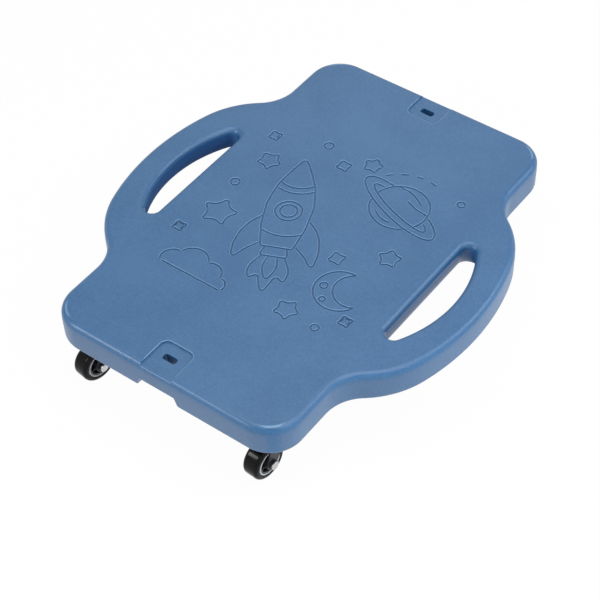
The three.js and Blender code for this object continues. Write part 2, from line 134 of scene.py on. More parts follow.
class CasterSizes(bpy.types.PropertyGroup):
    plate: length("Plate", "Side of the mounting plate", 56)
    sheet: length("Sheet", "Thickness of the fork's sheet", 2)
    raceway: length("Raceway", "Outside radius of the bearing's rims", 17.4)
    wheel_radius: length("Wheel radius", "Outside of the tyre", 25)
    wheel_width: length("Wheel width", "Across the tyre", 22.3)
    shoulder: length("Tyre shoulder", "Rounding of the tyre's shoulders", 4.6)
    rim_outside: length("Rim outside", "Outside radius of the rim's ring", 17.7)
    rim_inside: length("Rim inside", "Inside radius of the rim's ring", 15.6)
    ribs: IntProperty(name="Hub ribs", description="Ribs on each side of the hub", default=6, min=3, max=12)
    tyre: colour("Tyre", "Cast tyre", (0.0030, 0.0030, 0.0036))
    rim: colour("Rim", "The rim's ring", (0.42, 0.44, 0.46))
    fork: colour("Fork", "Painted fork", (0.020, 0.022, 0.027))
    steel: colour("Steel", "Plated steel", (0.62, 0.64, 0.66))


class StageSettings(bpy.types.PropertyGroup):
    azimuth: rotation("Azimuth", "The camera's turn round the board", 37.858)
    elevation: rotation("Elevation", "The camera's tilt above the board", 47.170)
    roll: rotation("Roll", "The camera's roll", -1.964)
    distance: length("Distance", "From the camera to its target", 2073.1)
    lens: FloatProperty(
        name="Lens", description="Focal length on a 36 mm sensor", default=105.230, unit="CAMERA"
    )
    sky: FloatProperty(
        name="Sky", description="Strength of the even light from all round", default=0.2, min=0
    )
    softbox: watts("Softbox", "softbox overhead", 19.4)
    glow: watts("Far glow", "panel that the far half mirrors", 3.3)
    back: watts("Back light", "panel behind on the right", 7.5)
    fill: watts("Fill", "low panels that light the sides", 17)
    window: watts("Window", "window light on the left", 15)
    spot: watts("Corner light", "small light over the near right side", 2.2)


def deck_sizes():
    return bpy.context.scene.scooter_deck


def caster_sizes():
    return bpy.context.scene.scooter_casters


def stage_settings():
    return bpy.context.scene.scooter_stage


# Mesh helpers


def verts_of(items):
    return [item for item in items if isinstance(item, bmesh.types.BMVert)]


def line_to(bm, vert, x, y, z=None):
    new = bmesh.ops.extrude_vert_indiv(bm, verts=[vert])["verts"][0]
    place = Vector((x, y, vert.co.z if z is None else z))
    bmesh.ops.translate(bm, verts=[new], vec=place - new.co)
    return new


def arc_to(bm, vert, centre, angle, steps):
    made = bmesh.ops.spin(
        bm,
        geom=[vert],
        cent=(*centre, vert.co.z),
        axis=(0, 0, 1),
        angle=angle,
        steps=steps,
        use_merge=False,
        use_duplicate=False,
    )
    return verts_of(made["geom_last"])[0]


def bevel(bm, geom, radius, segments, affect="EDGES"):
    bmesh.ops.bevel(
        bm,
        geom=geom,
        offset=radius,
        offset_type="OFFSET",
        segments=segments,
        profile=0.5,
        affect=affect,
        material=-1,
    )


def settle(bm):
    bmesh.ops.remove_doubles(bm, verts=bm.verts[:], dist=MERGE)
    bmesh.ops.recalc_face_normals(bm, faces=bm.faces[:])
    return bm


def to_object(bm, name):
    mesh = bpy.data.meshes.new(name)
    bm.to_mesh(mesh)
    bm.free()
    thing = bpy.data.objects.new(name, mesh)
    bpy.context.scene.collection.objects.link(thing)
    return thing


def discard(thing):
    data = thing.data
    bpy.data.objects.remove(thing)
    if data.users == 0:
        (bpy.data.curves if isinstance(data, bpy.types.Curve) else bpy.data.meshes).remove(data)


def shape_of(thing):
    """The object's mesh with its modifiers applied."""
    graph = bpy.context.evaluated_depsgraph_get()
    return bpy.data.meshes.new_from_object(thing.evaluated_get(graph))


def apply_modifiers(thing):
    mesh = shape_of(thing)
    thing.modifiers.clear()
    old = thing.data
    thing.data = mesh
    bpy.data.meshes.remove(old)
    return thing


def with_small_bevels(thing, width):
    modifier = thing.modifiers.new("Edges", "BEVEL")
    modifier.width = width
    modifier.segments = 2
    modifier.limit_method = "ANGLE"
    modifier.angle_limit = radians(40)
    return apply_modifiers(thing)


def combine(target, tool, operation):
    modifier = target.modifiers.new("Shape", "BOOLEAN")
    modifier.solver = "MANIFOLD"
    modifier.operation = operation
    modifier.object = tool
    apply_modifiers(target)
    if not target.data.polygons:
        raise RuntimeError(f"{operation} by {tool.name} left nothing of {target.name}")
    discard(tool)


def cut(target, *tools):
    for tool in tools:
        combine(target, tool, "DIFFERENCE")


def join(target, *parts):
    for part in parts:
        combine(target, part, "UNION")


def placed(thing, matrix):
    thing.data.transform(matrix)
    return thing


def copy_of(thing, matrix):
    twin = bpy.data.objects.new(thing.name, thing.data.copy())
    bpy.context.scene.collection.objects.link(twin)
    return placed(twin, matrix)


def turned(name, profile, steps, edge=0.0):
    """A solid spun round Z from a closed profile of (radius, height), with its edges rounded."""
    (radius, height), *rest = profile
    bm = bmesh.new()
    first = last = bm.verts.new((radius, 0, height))
    for radius, height in rest:
        last = line_to(bm, last, radius, 0, height)
    bmesh.ops.contextual_create(bm, geom=[last, first])
    section = bm.verts[:] + bm.edges[:]
    bmesh.ops.spin(
        bm, geom=section, cent=(0, 0, 0), axis=(0, 0, 1), angle=2 * pi, steps=steps, use_merge=True
    )
    bmesh.ops.delete(bm, geom=[edge for edge in bm.edges if not edge.link_faces], context="EDGES")
    bmesh.ops.dissolve_degenerate(bm, dist=1e-7, edges=bm.edges[:])
    settle(bm)
    if edge:
        sharp = [side for side in bm.edges if side.is_manifold and side.calc_face_angle() > radians(35)]
        bevel(bm, sharp, edge, 2)
    return to_object(bm, name)


def ring(name, inner, outer, low, high, steps, edge=0.0):
    """A turned ring between two radii and two heights. With an inner radius of 0 it is a solid disc."""
    return turned(name, [(inner, low), (outer, low), (outer, high), (inner, high)], steps, edge)


def slab(width, depth, corner, steps=8):
    """A level face with rounded corners, at z = 0."""
    bm = bmesh.new()
    bmesh.ops.create_grid(bm, x_segments=1, y_segments=1, size=0.5)
    bmesh.ops.scale(bm, vec=(width, depth, 1), verts=bm.verts[:])
    bevel(bm, bm.verts[:], corner, steps, "VERTICES")
    return bm


def thick_slab(name, width, depth, corner, steps, low, thickness, place=(0, 0)):
    bm = slab(width, depth, corner, steps)
    made = bmesh.ops.extrude_face_region(bm, geom=bm.faces[:])["geom"]
    bmesh.ops.translate(bm, verts=verts_of(made), vec=(0, 0, thickness))
    bmesh.ops.translate(bm, verts=bm.verts[:], vec=(*place, low))
    return to_object(settle(bm), name)


def sink(bm, face, inset, drop):
    bmesh.ops.inset_region(
        bm, faces=[face], thickness=inset, depth=0, use_boundary=True, use_even_offset=True
    )
    bmesh.ops.translate(bm, verts=face.verts[:], vec=(0, 0, -drop))


def well(name, width, depth, corner, deep, lip=0.0, foot=0.0, lean=0.0, ramp=0.0):
    """What a recess takes out: a mouth at z = 0 with a ramp and a rounded lip, leaning walls, a
    filleted floor."""
    steps = 5
    slope = radians(20) if ramp else 0
    mouth = lip * (1 - sin(slope)) + ramp
    bm = slab(width + 2 * mouth, depth + 2 * mouth, corner + mouth)
    bmesh.ops.translate(bm, verts=bm.verts[:], vec=(0, 0, REACH))
    bm.faces.ensure_lookup_table()
    floor = bm.faces[0]
    sink(bm, floor, 0, REACH)
    if ramp:
        sink(bm, floor, ramp, ramp * tan(slope))
    if lip:
        bend = (pi / 2 - slope) / steps
        for i in range(steps):
            start, end = slope + bend * i, slope + bend * (i + 1)
            sink(bm, floor, lip * (sin(end) - sin(start)), lip * (cos(start) - cos(end)))
    sink(bm, floor, lean, deep - lip * cos(slope) - ramp * tan(slope) - foot)
    if foot:
        bend = pi / 2 / steps
        for i in range(steps):
            start, end = bend * i, bend * (i + 1)
            sink(bm, floor, foot * (cos(start) - cos(end)), foot * (sin(end) - sin(start)))
    bmesh.ops.holes_fill(bm, edges=[edge for edge in bm.edges if edge.is_boundary], sides=0)
    return to_object(settle(bm), name)


def box(low, high):
    bm = bmesh.new()
    bmesh.ops.create_cube(bm, size=1)
    low, high = Vector(low), Vector(high)
    bmesh.ops.scale(bm, vec=high - low, verts=bm.verts[:])
    bmesh.ops.translate(bm, verts=bm.verts[:], vec=(high + low) / 2)
    return bm


def spin_mesh(bm, angle):
    """Turns the whole mesh round Z."""
    bmesh.ops.rotate(bm, verts=bm.verts[:], cent=(0, 0, 0), matrix=Matrix.Rotation(angle, 3, "Z"))


def smooth_shade(thing, sharp):
    """Shades smoothly, apart from edges that bend more than the angle in degrees."""
    thing.data.shade_smooth()
    thing.data.set_sharp_from_angle(angle=radians(sharp))
    modifier = thing.modifiers.new("Normals", "WEIGHTED_NORMAL")
    modifier.keep_sharp = True
    modifier.weight = 100


def finish_piece(thing, body, material, node):
    thing.data.materials.clear()
    thing.data.materials.append(material)
    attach(thing, body)
    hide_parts(node)


# Node helpers and the effects that the materials share


def add(tree, kind, settings=None, **sockets):
    """Adds a node. A socket's value is a number, a colour or another node's output."""
    node = tree.nodes.new(kind)
    for key, value in (settings or {}).items():
        setattr(node, key, value)
    for key, value in sockets.items():
        socket = node.inputs[int(key[1:])] if key[1:].isdigit() else node.inputs[key.replace("_", " ")]
        if isinstance(value, bpy.types.NodeSocket):
            tree.links.new(value, socket)
        else:
            socket.default_value = value
    return node


def maths(tree, operation, a, b=0.0):
    return add(tree, "ShaderNodeMath", {"operation": operation}, i0=a, i1=b).outputs[0]


def product(tree, value, *factors):
    for factor in factors:
        value = maths(tree, "MULTIPLY", value, factor)
    return value


def eased(tree, value, low, high, start=0.0, end=1.0):
    """Goes smoothly from start to end while the value goes from low to high."""
    ends = {"From_Min": low, "From_Max": high, "To_Min": start, "To_Max": end}
    return add(
        tree, "ShaderNodeMapRange", {"interpolation_type": "SMOOTHSTEP"}, Value=value, **ends
    ).outputs[0]


def mix_numbers(tree, amount, first, second):
    return add(tree, "ShaderNodeMix", {"data_type": "FLOAT"}, Factor=amount, i2=first, i3=second).outputs[0]


def mix_colours(tree, amount, first, second):
    return add(tree, "ShaderNodeMix", {"data_type": "RGBA"}, Factor=amount, i6=first, i7=second).outputs[2]


def noise(tree, place, per_metre, **values):
    return add(tree, "ShaderNodeTexNoise", Vector=place, Scale=per_metre, **values).outputs["Fac"]


def new_group(name, inputs, outputs):
    group = bpy.data.node_groups.new(name, "ShaderNodeTree")
    for label, kind, default in inputs:
        socket = group.interface.new_socket(name=label, in_out="INPUT", socket_type="NodeSocket" + kind)
        if default is not None:
            socket.default_value = default
    for label, kind in outputs:
        group.interface.new_socket(name=label, in_out="OUTPUT", socket_type="NodeSocket" + kind)
    return group, group.nodes.new("NodeGroupInput").outputs, group.nodes.new("NodeGroupOutput").inputs


def surface_grain():
    """Fine moulding or paint texture over slow waves, as a height in metres."""
    name = "Surface grain"
    if name in bpy.data.node_groups:
        return bpy.data.node_groups[name]
    group, given, out = new_group(
        name,
        [
            ("Place", "Vector", None),
            ("Grains per metre", "Float", 900),
            ("Grain height", "Float", 0.00002),
            ("Waves per metre", "Float", 60),
            ("Wave height", "Float", 0.0001),
        ],
        [("Height", "Float"), ("Grain", "Float")],
    )
    fine = noise(group, given["Place"], given["Grains per metre"], Detail=3, Roughness=0.62)
    waves = noise(group, given["Place"], given["Waves per metre"], Detail=2, Roughness=0.5)
    grain_height = product(group, fine, given["Grain height"])
    wave_height = product(group, waves, given["Wave height"])
    group.links.new(maths(group, "ADD", grain_height, wave_height), out["Height"])
    group.links.new(fine, out["Grain"])
    return group


def tone_drift():
    """A slow, low drift between two tones with a finer speckle in it."""
    name = "Tone drift"
    if name in bpy.data.node_groups:
        return bpy.data.node_groups[name]
    group, given, out = new_group(
        name,
        [
            ("Place", "Vector", None),
            ("Patches per metre", "Float", 14),
            ("Speckles per metre", "Float", 600),
            ("Speckle share", "Float", 0.3),
            ("Deep tone", "Color", (0, 0, 0, 1)),
            ("Light tone", "Color", (1, 1, 1, 1)),
        ],
        [("Tone", "Color")],
    )
    patches = noise(group, given["Place"], given["Patches per metre"], Detail=4, Roughness=0.6)
    speckles = noise(group, given["Place"], given["Speckles per metre"], Detail=2)
    spread = eased(group, mix_numbers(group, given["Speckle share"], patches, speckles), 0.34, 0.66)
    group.links.new(mix_colours(group, spread, given["Deep tone"], given["Light tone"]), out["Tone"])
    return group


def rubbed_marks():
    """Thin scattered rub marks, as a mask."""
    name = "Rubbed marks"
    if name in bpy.data.node_groups:
        return bpy.data.node_groups[name]
    group, given, out = new_group(
        name,
        [
            ("Place", "Vector", None),
            ("Marks per metre", "Float", 60),
            ("Stretch", "Vector", (1, 1, 1)),
            ("Least", "Float", 0.6),
            ("Most", "Float", 0.72),
        ],
        [("Mask", "Float")],
    )
    pulled = add(
        group, "ShaderNodeVectorMath", {"operation": "MULTIPLY"}, i0=given["Place"], i1=given["Stretch"]
    ).outputs[0]
    marks = noise(group, pulled, given["Marks per metre"], Detail=5, Roughness=0.7, Distortion=0.4)
    group.links.new(eased(group, marks, given["Least"], given["Most"]), out["Mask"])
    return group


def use_group(tree, group, **sockets):
    return add(tree, "ShaderNodeGroup", {"node_tree": group}, **sockets).outputs


def rgba(values):
    return (*values, 1.0)


def shade(values, amount):
    return [amount * value for value in values]


def start_material(name, **shader_values):
    material = bpy.data.materials.new(name)
    material.use_nodes = True
    tree = material.node_tree
    tree.nodes.clear()
    shader = add(tree, "ShaderNodeBsdfPrincipled", **shader_values)
    add(tree, "ShaderNodeOutputMaterial", Surface=shader.outputs[0])
    place = add(tree, "ShaderNodeTexCoord").outputs["Object"]
    return material, tree, shader, place


def relief(tree, shader, height):
    bump = add(tree, "ShaderNodeBump", Strength=1.0, Distance=1.0, Height=height)
    tree.links.new(bump.outputs[0], shader.inputs["Normal"])


def drifting_tone(tree, shader, place, deep, light, patches, speckles, speckle_share):
    made = use_group(
        tree,
        tone_drift(),
        Place=place,
        Patches_per_metre=patches,
        Speckles_per_metre=speckles,
        Speckle_share=speckle_share,
        Deep_tone=rgba(deep),
        Light_tone=rgba(light),
    )
    tree.links.new(made["Tone"], shader.inputs["Base Color"])


def grained(tree, place, grains, grain_height, waves, wave_height):
    """The grain's outputs, from how many to a metre and how high."""
    return use_group(
        tree,
        surface_grain(),
        Place=place,
        Grains_per_metre=grains,
        Grain_height=grain_height,
        Waves_per_metre=waves,
        Wave_height=wave_height,
    )


def rubbed(tree, place, marks, stretch, least, most):
    made = use_group(
        tree, rubbed_marks(), Place=place, Marks_per_metre=marks, Stretch=stretch, Least=least, Most=most
    )
    return made["Mask"]


def spread_roughness(tree, shader, value, low, high):
    made = add(tree, "ShaderNodeMapRange", Value=value, To_Min=low, To_Max=high)
    tree.links.new(made.outputs[0], shader.inputs["Roughness"])


def plain_finish(name, tones, patches, grain, roughness, marks=None, **shader_values):
    """Two drifting tones with a fine grain. The gloss follows the rub marks, or else the grain.
    Patches are (patches to a metre, speckles to a metre, the speckles' share), the grain is (grains to
    a metre, their height, waves to a metre, their height), and marks are (marks to a metre, stretch,
    least, most)."""
    material, tree, shader, place = start_material(name, **shader_values)
    drifting_tone(tree, shader, place, *tones, *patches)
    texture = grained(tree, place, *grain)
    gloss = rubbed(tree, place, *marks) if marks else texture["Grain"]
    spread_roughness(tree, shader, gloss, *roughness)
    relief(tree, shader, texture["Height"])
    return material


def cast_tyre():
    black = caster_sizes().tyre
    return plain_finish(
        "Cast black tyre",
        tones=(black, shade(black, 1.8)),
        patches=(55, 1600, 0.35),
        grain=(1800, 0.001 * MM, 90, 0.004 * MM),
        marks=(110, (0.4, 1, 1), 0.58, 0.8),
        roughness=(0.1, 0.22),
        Specular_IOR_Level=0.12,
    )


def fork_paint():
    black = caster_sizes().fork
    return plain_finish(
        "Black fork paint",
        tones=(black, shade(black, 1.7)),
        patches=(45, 1800, 0.45),
        grain=(1500, 0.018 * MM, 240, 0.03 * MM),
        marks=(140, (1, 1, 0.5), 0.55, 0.75),
        roughness=(0.42, 0.6),
        Specular_IOR_Level=0.25,
    )


def satin_plastic(name, deep, light, roughness, specular=0.5):
    return plain_finish(
        name,
        tones=(deep, light),
        patches=(60, 1500, 0.4),
        grain=(2200, 0.012 * MM, 200, 0.02 * MM),
        roughness=roughness,
        Specular_IOR_Level=specular,
    )


def plated_steel(name, base, roughness, stretch=(1, 1, 1)):
    return plain_finish(
        name,
        tones=(shade(base, 0.82), base),
        patches=(70, 900, 0.3),
        grain=(2600, 0.004 * MM, 300, 0.012 * MM),
        marks=(420, stretch, 0.35, 0.75),
        roughness=roughness,
        Metallic=1.0,
    )


def moulded_plastic():
    sizes = deck_sizes()
    material, tree, shader, place = start_material("Moulded blue plastic", Specular_IOR_Level=0.6)
    drifting_tone(
        tree, shader, place, sizes.dark, sizes.light, patches=9, speckles=420, speckle_share=0.5
    )
    texture = grained(tree, place, grains=850, grain_height=0.035 * MM, waves=38, wave_height=0.22 * MM)
    spread_roughness(tree, shader, texture["Grain"], low=0.26, high=0.46)
    point = add(tree, "ShaderNodeSeparateXYZ", Vector=place).outputs
    across = maths(tree, "ABSOLUTE", point["X"])
    along = maths(tree, "ABSOLUTE", point["Y"])
    sunk = maths(tree, "SUBTRACT", DECK_HIGH.z, point["Z"])
    walls_painted_light_and_matt(tree, shader, across, along, sunk)
    paint_lip_highlights_and_groove_shade(tree, shader, across, along, sunk)
    prints = print_through(tree, across, sunk)
    relief(tree, shader, maths(tree, "ADD", texture["Height"], prints))
    return material


def walls_painted_light_and_matt(tree, shader, across, along, sunk):
    """The outer walls get a painted grey that grows towards the bottom, a painted reflection of the white
    floor. The hand slots' deep walls get a painted bluer shade, and are made matt."""
    sizes = deck_sizes()
    base, roughness = shader.inputs["Base Color"], shader.inputs["Roughness"]
    from_centre = maths(tree, "SUBTRACT", across, DECK_HIGH.x - sizes.grip - sizes.slot_radius)
    squares = maths(tree, "ADD", maths(tree, "POWER", from_centre, 2), maths(tree, "POWER", along, 2))
    around_handle = eased(tree, maths(tree, "SQRT", squares), 200 * MM, 206 * MM)
    past_slot = maths(tree, "MAXIMUM", around_handle, eased(tree, along, 112 * MM, 122 * MM))
    beside = eased(tree, across, 158 * MM, 166 * MM)
    rim = maths(tree, "MAXIMUM", beside, eased(tree, along, 281 * MM, 285 * MM))
    # Painted reflection of the white floor: a grey that grows down the outer walls
    painted_floor_glow_share = product(tree, eased(tree, sunk, 4 * MM, 14 * MM, 0, 0.15), rim, past_slot)
    with_painted_floor_glow = mix_colours(tree, painted_floor_glow_share, base.links[0].from_socket, (0.19, 0.20, 0.23, 1))

    outer_wall = eased(tree, across, 173 * MM, 190 * MM, 0.4)
    deep = eased(tree, sunk, 3 * MM, 9 * MM)
    in_slot = product(tree, outer_wall, beside, deep, maths(tree, "SUBTRACT", 1.0, past_slot))
    # Painted shade: the deep walls of the hand slots are darkened to a deeper blue
    with_painted_slot_shade = mix_colours(tree, product(tree, in_slot, 0.6), with_painted_floor_glow, (0.002, 0.075, 0.27, 1))
    matt = maths(tree, "MAXIMUM", roughness.links[0].from_socket, product(tree, in_slot, 0.9))
    tree.links.new(with_painted_slot_shade, base)
    tree.links.new(matt, roughness)


def paint_lip_highlights_and_groove_shade(tree, shader, across, along, sunk):
    """Painted highlights: the lips of the sunk lines and recesses on top are painted lighter. Painted shade:
    what lies deeper in them is painted darker."""
    base = shader.inputs["Base Color"]
    inside = eased(tree, across, 158 * MM, 162 * MM, 1, 0)
    on_top = product(tree, inside, eased(tree, along, 278 * MM, 282 * MM, 1, 0))
    # Painted highlight on the lips and painted shade deeper down, each as (most, depths where it rises and
    # fades, tint)
    painted_lip_highlight = (0.65, (0.01, 0.08, 0.5, 0.9), (0.15, 0.31, 0.50))
    painted_groove_shade = (0.45, (0.8, 1.1, 1.9, 2.3), (0.008, 0.055, 0.16))
    blend = base.links[0].from_socket
    for most, (start, full, fading, end), tint in (painted_lip_highlight, painted_groove_shade):
        rising = eased(tree, sunk, start * MM, full * MM)
        falling = eased(tree, sunk, fading * MM, end * MM, 1, 0)
        blend = mix_colours(tree, product(tree, rising, falling, on_top, most), blend, rgba(tint))
    tree.links.new(blend, base)


def print_through(tree, across, sunk):
    """The underside's channels show on top as faint straight sinks."""
    sinks = 0.0
    for edge in (11 * MM, 59 * MM, 81 * MM):
        away = maths(tree, "ABSOLUTE", maths(tree, "SUBTRACT", across, edge))
        sinks = maths(tree, "ADD", sinks, eased(tree, away, 0, 1.6 * MM, -0.05 * MM, 0))
    return product(tree, sinks, eased(tree, sunk, 0.5 * MM, 1.5 * MM, 1, 0))


# The deck


def deck_outline(bm, start, inset):
    """One quarter of the deck's outline from the middle along the hand slot and the side, at one
    level. Returns the slot's corners and the outside's."""
    sizes = deck_sizes()
    half_span = DECK_HIGH.x
    slot_out = half_span - sizes.grip
    slot_centre = slot_out - sizes.slot_radius
    slot_in = slot_out - sizes.slot_width
    end_x = slot_in + sizes.slot_end
    end_y = sqrt((sizes.slot_radius - sizes.slot_end) ** 2 - (end_x - slot_centre) ** 2)
    meeting = atan2(end_y, end_x - slot_centre)
    handle_centre = half_span - sizes.handle_radius
    away = sizes.handle_radius - sizes.shoulder_radius
    shoulder = (handle_centre + away * cos(sizes.handle_angle), away * sin(sizes.handle_angle))
    across = sizes.side + sizes.hollow_radius - shoulder[0]
    along = sqrt((sizes.hollow_radius + sizes.shoulder_radius) ** 2 - across**2)
    shoulder_end = atan2(along, across)
    hollow = (sizes.side + sizes.hollow_radius, shoulder[1] + along)
    corner = (sizes.side - sizes.corner_radius, DECK_HIGH.y - sizes.corner_radius)

    before = set(bm.verts)
    vert = line_to(bm, start, slot_in, 0)
    vert = line_to(bm, vert, slot_in, end_y)
    vert = arc_to(bm, vert, (end_x, end_y), meeting - pi, 22)
    vert = arc_to(bm, vert, (slot_centre, 0), -meeting, 18)
    slot = set(bm.verts) - before
    before = set(bm.verts)
    vert = line_to(bm, vert, half_span - inset, 0)
    vert = arc_to(bm, vert, (handle_centre, 0), sizes.handle_angle, 18)
    vert = arc_to(bm, vert, shoulder, shoulder_end - sizes.handle_angle, 20)
    vert = arc_to(bm, vert, hollow, -shoulder_end, 20)
    vert = line_to(bm, vert, sizes.side - inset, corner[1])
    vert = arc_to(bm, vert, corner, pi / 2, 24)
    vert = line_to(bm, vert, 0, DECK_HIGH.y - inset)
    outside = set(bm.verts) - before
    bmesh.ops.contextual_create(bm, geom=[vert, start])
    return slot, outside


def deck_body():
    """A quarter of the deck with its rounded rims, mirrored twice."""
    sizes = deck_sizes()
    parting = DECK_LOW.z + sizes.parting * (DECK_HIGH.z - DECK_LOW.z)
    levels = [(DECK_LOW.z, sizes.draft), (parting, 0.0), (DECK_HIGH.z, sizes.draft)]
    bm = bmesh.new()
    rings, slots, outsides = [], [], []
    for z, inset in levels:
        before = set(bm.edges)
        slot, outside = deck_outline(bm, bm.verts.new((0, 0, z)), inset)
        rings.append([edge for edge in bm.edges if edge not in before])
        slots.append(slot)
        outsides.append(outside)
    for lower, upper in zip(rings, rings[1:]):
        bmesh.ops.bridge_loops(bm, edges=lower + upper)
    bmesh.ops.contextual_create(bm, geom=rings[0])
    bmesh.ops.contextual_create(bm, geom=rings[-1])
    bmesh.ops.recalc_face_normals(bm, faces=bm.faces[:])

    def rim(corners):
        return [edge for edge in bm.edges if edge.verts[0] in corners and edge.verts[1] in corners]

    bevel(bm, rim(outsides[-1]), sizes.top_edge, 8)
    bevel(bm, rim(slots[-1]), sizes.slot_top_edge, 8)
    bevel(bm, rim(outsides[0]), sizes.bottom_edge, 6)
    bevel(bm, rim(slots[0]), sizes.slot_bottom_edge, 14)

    for axis in (0, 1):
        walls = [face for face in bm.faces if all(abs(vert.co[axis]) < MERGE for vert in face.verts)]
        bmesh.ops.delete(bm, geom=walls, context="FACES")
    for axis in "XY":
        bmesh.ops.mirror(bm, geom=bm.verts[:] + bm.edges[:] + bm.faces[:], axis=axis, merge_dist=MERGE)
    return to_object(settle(bm), "deck_moulding")


def on_top(x, y, z=0.0):
    return Matrix.Translation((x, y, DECK_HIGH.z + z))


def underneath(x, y):
    """A place on the underside, for a shape that is made as if it were on top."""
    return Matrix.Translation((x, y, DECK_LOW.z)) @ Matrix.Rotation(pi, 4, "X")


def latch_end(x, side):
    """What comes off where a latch's floor rounds over the deck's end."""
    sizes = deck_sizes()
    radius = 5 * MM
    width = sizes.latch_width - 0.4 * MM
    inner = side * (DECK_HIGH.y - radius)
    outer = side * (DECK_HIGH.y + REACH)
    low, high = sorted((inner, outer))
    axis = DECK_HIGH.z - sizes.latch_depth - radius
    bm = box((x - width / 2, low, axis), (x + width / 2, high, DECK_HIGH.z + REACH))
    block = to_object(bm, "latch_end")
    bm = bmesh.new()
    place = Matrix.Translation((x, inner, axis)) @ ALONG_X
    bmesh.ops.create_cone(
        bm, cap_ends=True, segments=72, radius1=radius, radius2=radius, depth=2 * width, matrix=place
    )
    cut(block, to_object(bm, "rounding"))
    return block


def end_recesses(side, x, latch_length, slot_inset):
    """One end's latch recess with its rounded end and its slot, and the notch below it."""
    sizes = deck_sizes()
    end = DECK_HIGH.y
    past_end = side * (end + REACH)
    latch = well(
        "latch",
        sizes.latch_width,
        2 * (latch_length + REACH),
        corner=10 * MM,
        deep=sizes.latch_depth,
        lip=0.5 * MM,
        foot=0.3 * MM,
        ramp=0.9 * MM,
    )
    notch = well(
        "notch",
        64 * MM,
        2 * (46 * MM + REACH),
        corner=9.8 * MM,
        deep=17.5 * MM,
        lip=1 * MM,
        foot=1.5 * MM,
        lean=5.3 * MM,
    )
    slot = well("latch_slot", 19 * MM, 9 * MM, corner=3 * MM, deep=50 * MM, lip=0.6 * MM, ramp=0.7 * MM)
    return [
        placed(latch, on_top(x, past_end)),
        placed(notch, underneath(x, past_end)),
        placed(slot, on_top(x, side * (end - slot_inset), -2 * MM)),
        latch_end(x, side),
    ]


def deck_recesses():
    """The latch recesses, their slots and notches, and what is moulded into the underside."""
    tools = end_recesses(-1, -4.5 * MM, latch_length=49 * MM, slot_inset=29 * MM)
    tools += end_recesses(1, 0, latch_length=43 * MM, slot_inset=25.5 * MM)
    for x, channel_length in ((0, 444), (70, 508), (-70, 508)):
        channel = well(
            "channel",
            22 * MM,
            channel_length * MM,
            corner=10.9 * MM,
            deep=24 * MM,
            lip=2 * MM,
            foot=3 * MM,
            lean=2 * MM,
        )
        tools.append(placed(channel, underneath(x * MM, 0)))
    for name in CASTERS:
        x, y, _ = JOINTS[name + "_swivel"]["pos_m"]
        seat = well("plate_seat", 56.6 * MM, 56.6 * MM, corner=6.3 * MM, deep=2.8 * MM, lip=0.5 * MM)
        tools.append(placed(seat, underneath(x, y)))
        for across, along in SCREW_SPOTS:
            hole = ring("pilot_hole", 0, 2.6 * MM, -REACH, 17 * MM, steps=24)
            tools.append(placed(hole, Matrix.Translation((x + across * MM, y + along * MM, DECK_LOW.z))))
    return tools


# The engraving: lines of (x, y) in millimetres on the deck's top


def turned_point(x, y, angle):
    return x * cos(angle) - y * sin(angle), x * sin(angle) + y * cos(angle)


def arc_line(centre, radii, start, end, tilt=0.0, spacing=1.6):
    """Part of an ellipse, with its angles and its tilt in degrees."""
    wide, high = radii
    sweep = radians(end - start)
    count = max(6, int(abs(sweep) * (wide + high) / 2 / spacing))
    points = []
    for i in range(count + 1):
        angle = radians(start) + sweep * i / count
        points.append((wide * cos(angle), high * sin(angle)))
    return moved(points, centre, tilt)


def circle_line(centre, radius):
    return arc_line(centre, (radius, radius), 0, 360)[:-1]


def smooth_line(points, spacing=2.0):
    """A smooth open line through the points."""
    knots = [Vector(point) for point in (points[0], *points, points[-1])]
    made = []
    for a, b, c, d in zip(knots, knots[1:], knots[2:], knots[3:]):
        steps = max(2, int((c - b).length / spacing))
        for t in (k / steps for k in range(steps)):
            place = 2 * b + (c - a) * t + (2 * a - 5 * b + 4 * c - d) * t**2 + (3 * b - a - 3 * c + d) * t**3
            made.append(tuple(place / 2))
    return made + [tuple(knots[-1])]


def filleted(points, closed=True, tight=2.7, gentle=40.0):
    """Straight lines with rounded corners: a wide radius where the line bends a little, a tight one
    at a true corner."""
    made = []
    for i, point in enumerate(points):
        corner = Vector(point)
        if not closed and i in (0, len(points) - 1):
            made.append(tuple(corner))
            continue
        before = Vector(points[i - 1]) - corner
        after = Vector(points[(i + 1) % len(points)]) - corner
        half = before.angle(after) / 2
        radius = gentle if half > radians(62) else tight
        reach = min(radius / tan(half), 0.47 * before.length, 0.47 * after.length)
        radius = reach * tan(half)
        centre = corner + (before.normalized() + after.normalized()).normalized() * (radius / sin(half))
        first = corner + before.normalized() * reach - centre
        last = corner + after.normalized() * reach - centre
        turn = (pi - 2 * half) * (1 if first.cross(last) > 0 else -1)
        steps = max(2, ceil(abs(turn) * radius / 1.5))
        for k in range(steps + 1):
            x, y = turned_point(*first, turn * k / steps)
            made.append((centre.x + x, centre.y + y))
    return made


def star_line(centre, outer, tilt, count=5, waist=0.52):
    corners = []
    for i in range(2 * count):
        radius = outer if i % 2 == 0 else waist * outer
        angle = radians(90 + tilt) + pi * i / count
        corners.append((centre[0] + radius * cos(angle), centre[1] + radius * sin(angle)))
    return filleted(corners)


def shown_parts(points, hidden):
    """The pieces of a closed line that lie outside what hides it."""
    flags = [not hidden(*point) for point in points]
    if all(flags):
        return [(points, True)]
    first = flags.index(False)
    points = points[first:] + points[:first]
    flags = flags[first:] + flags[:first]
    parts, part = [], []
    for point, shown in zip(points + [None], flags + [False]):
        if shown:
            part.append(point)
        else:
            if len(part) > 4:
                parts.append((part, False))
            part = []
    return parts


def moved(points, centre, tilt, size=1.0):
    made = []
    for point in points:
        x, y = turned_point(*point, radians(tilt))
        made.append((centre[0] + size * x, centre[1] + size * y))
    return made


def mirrored(points):
    return [(-x, y) for x, y in points]


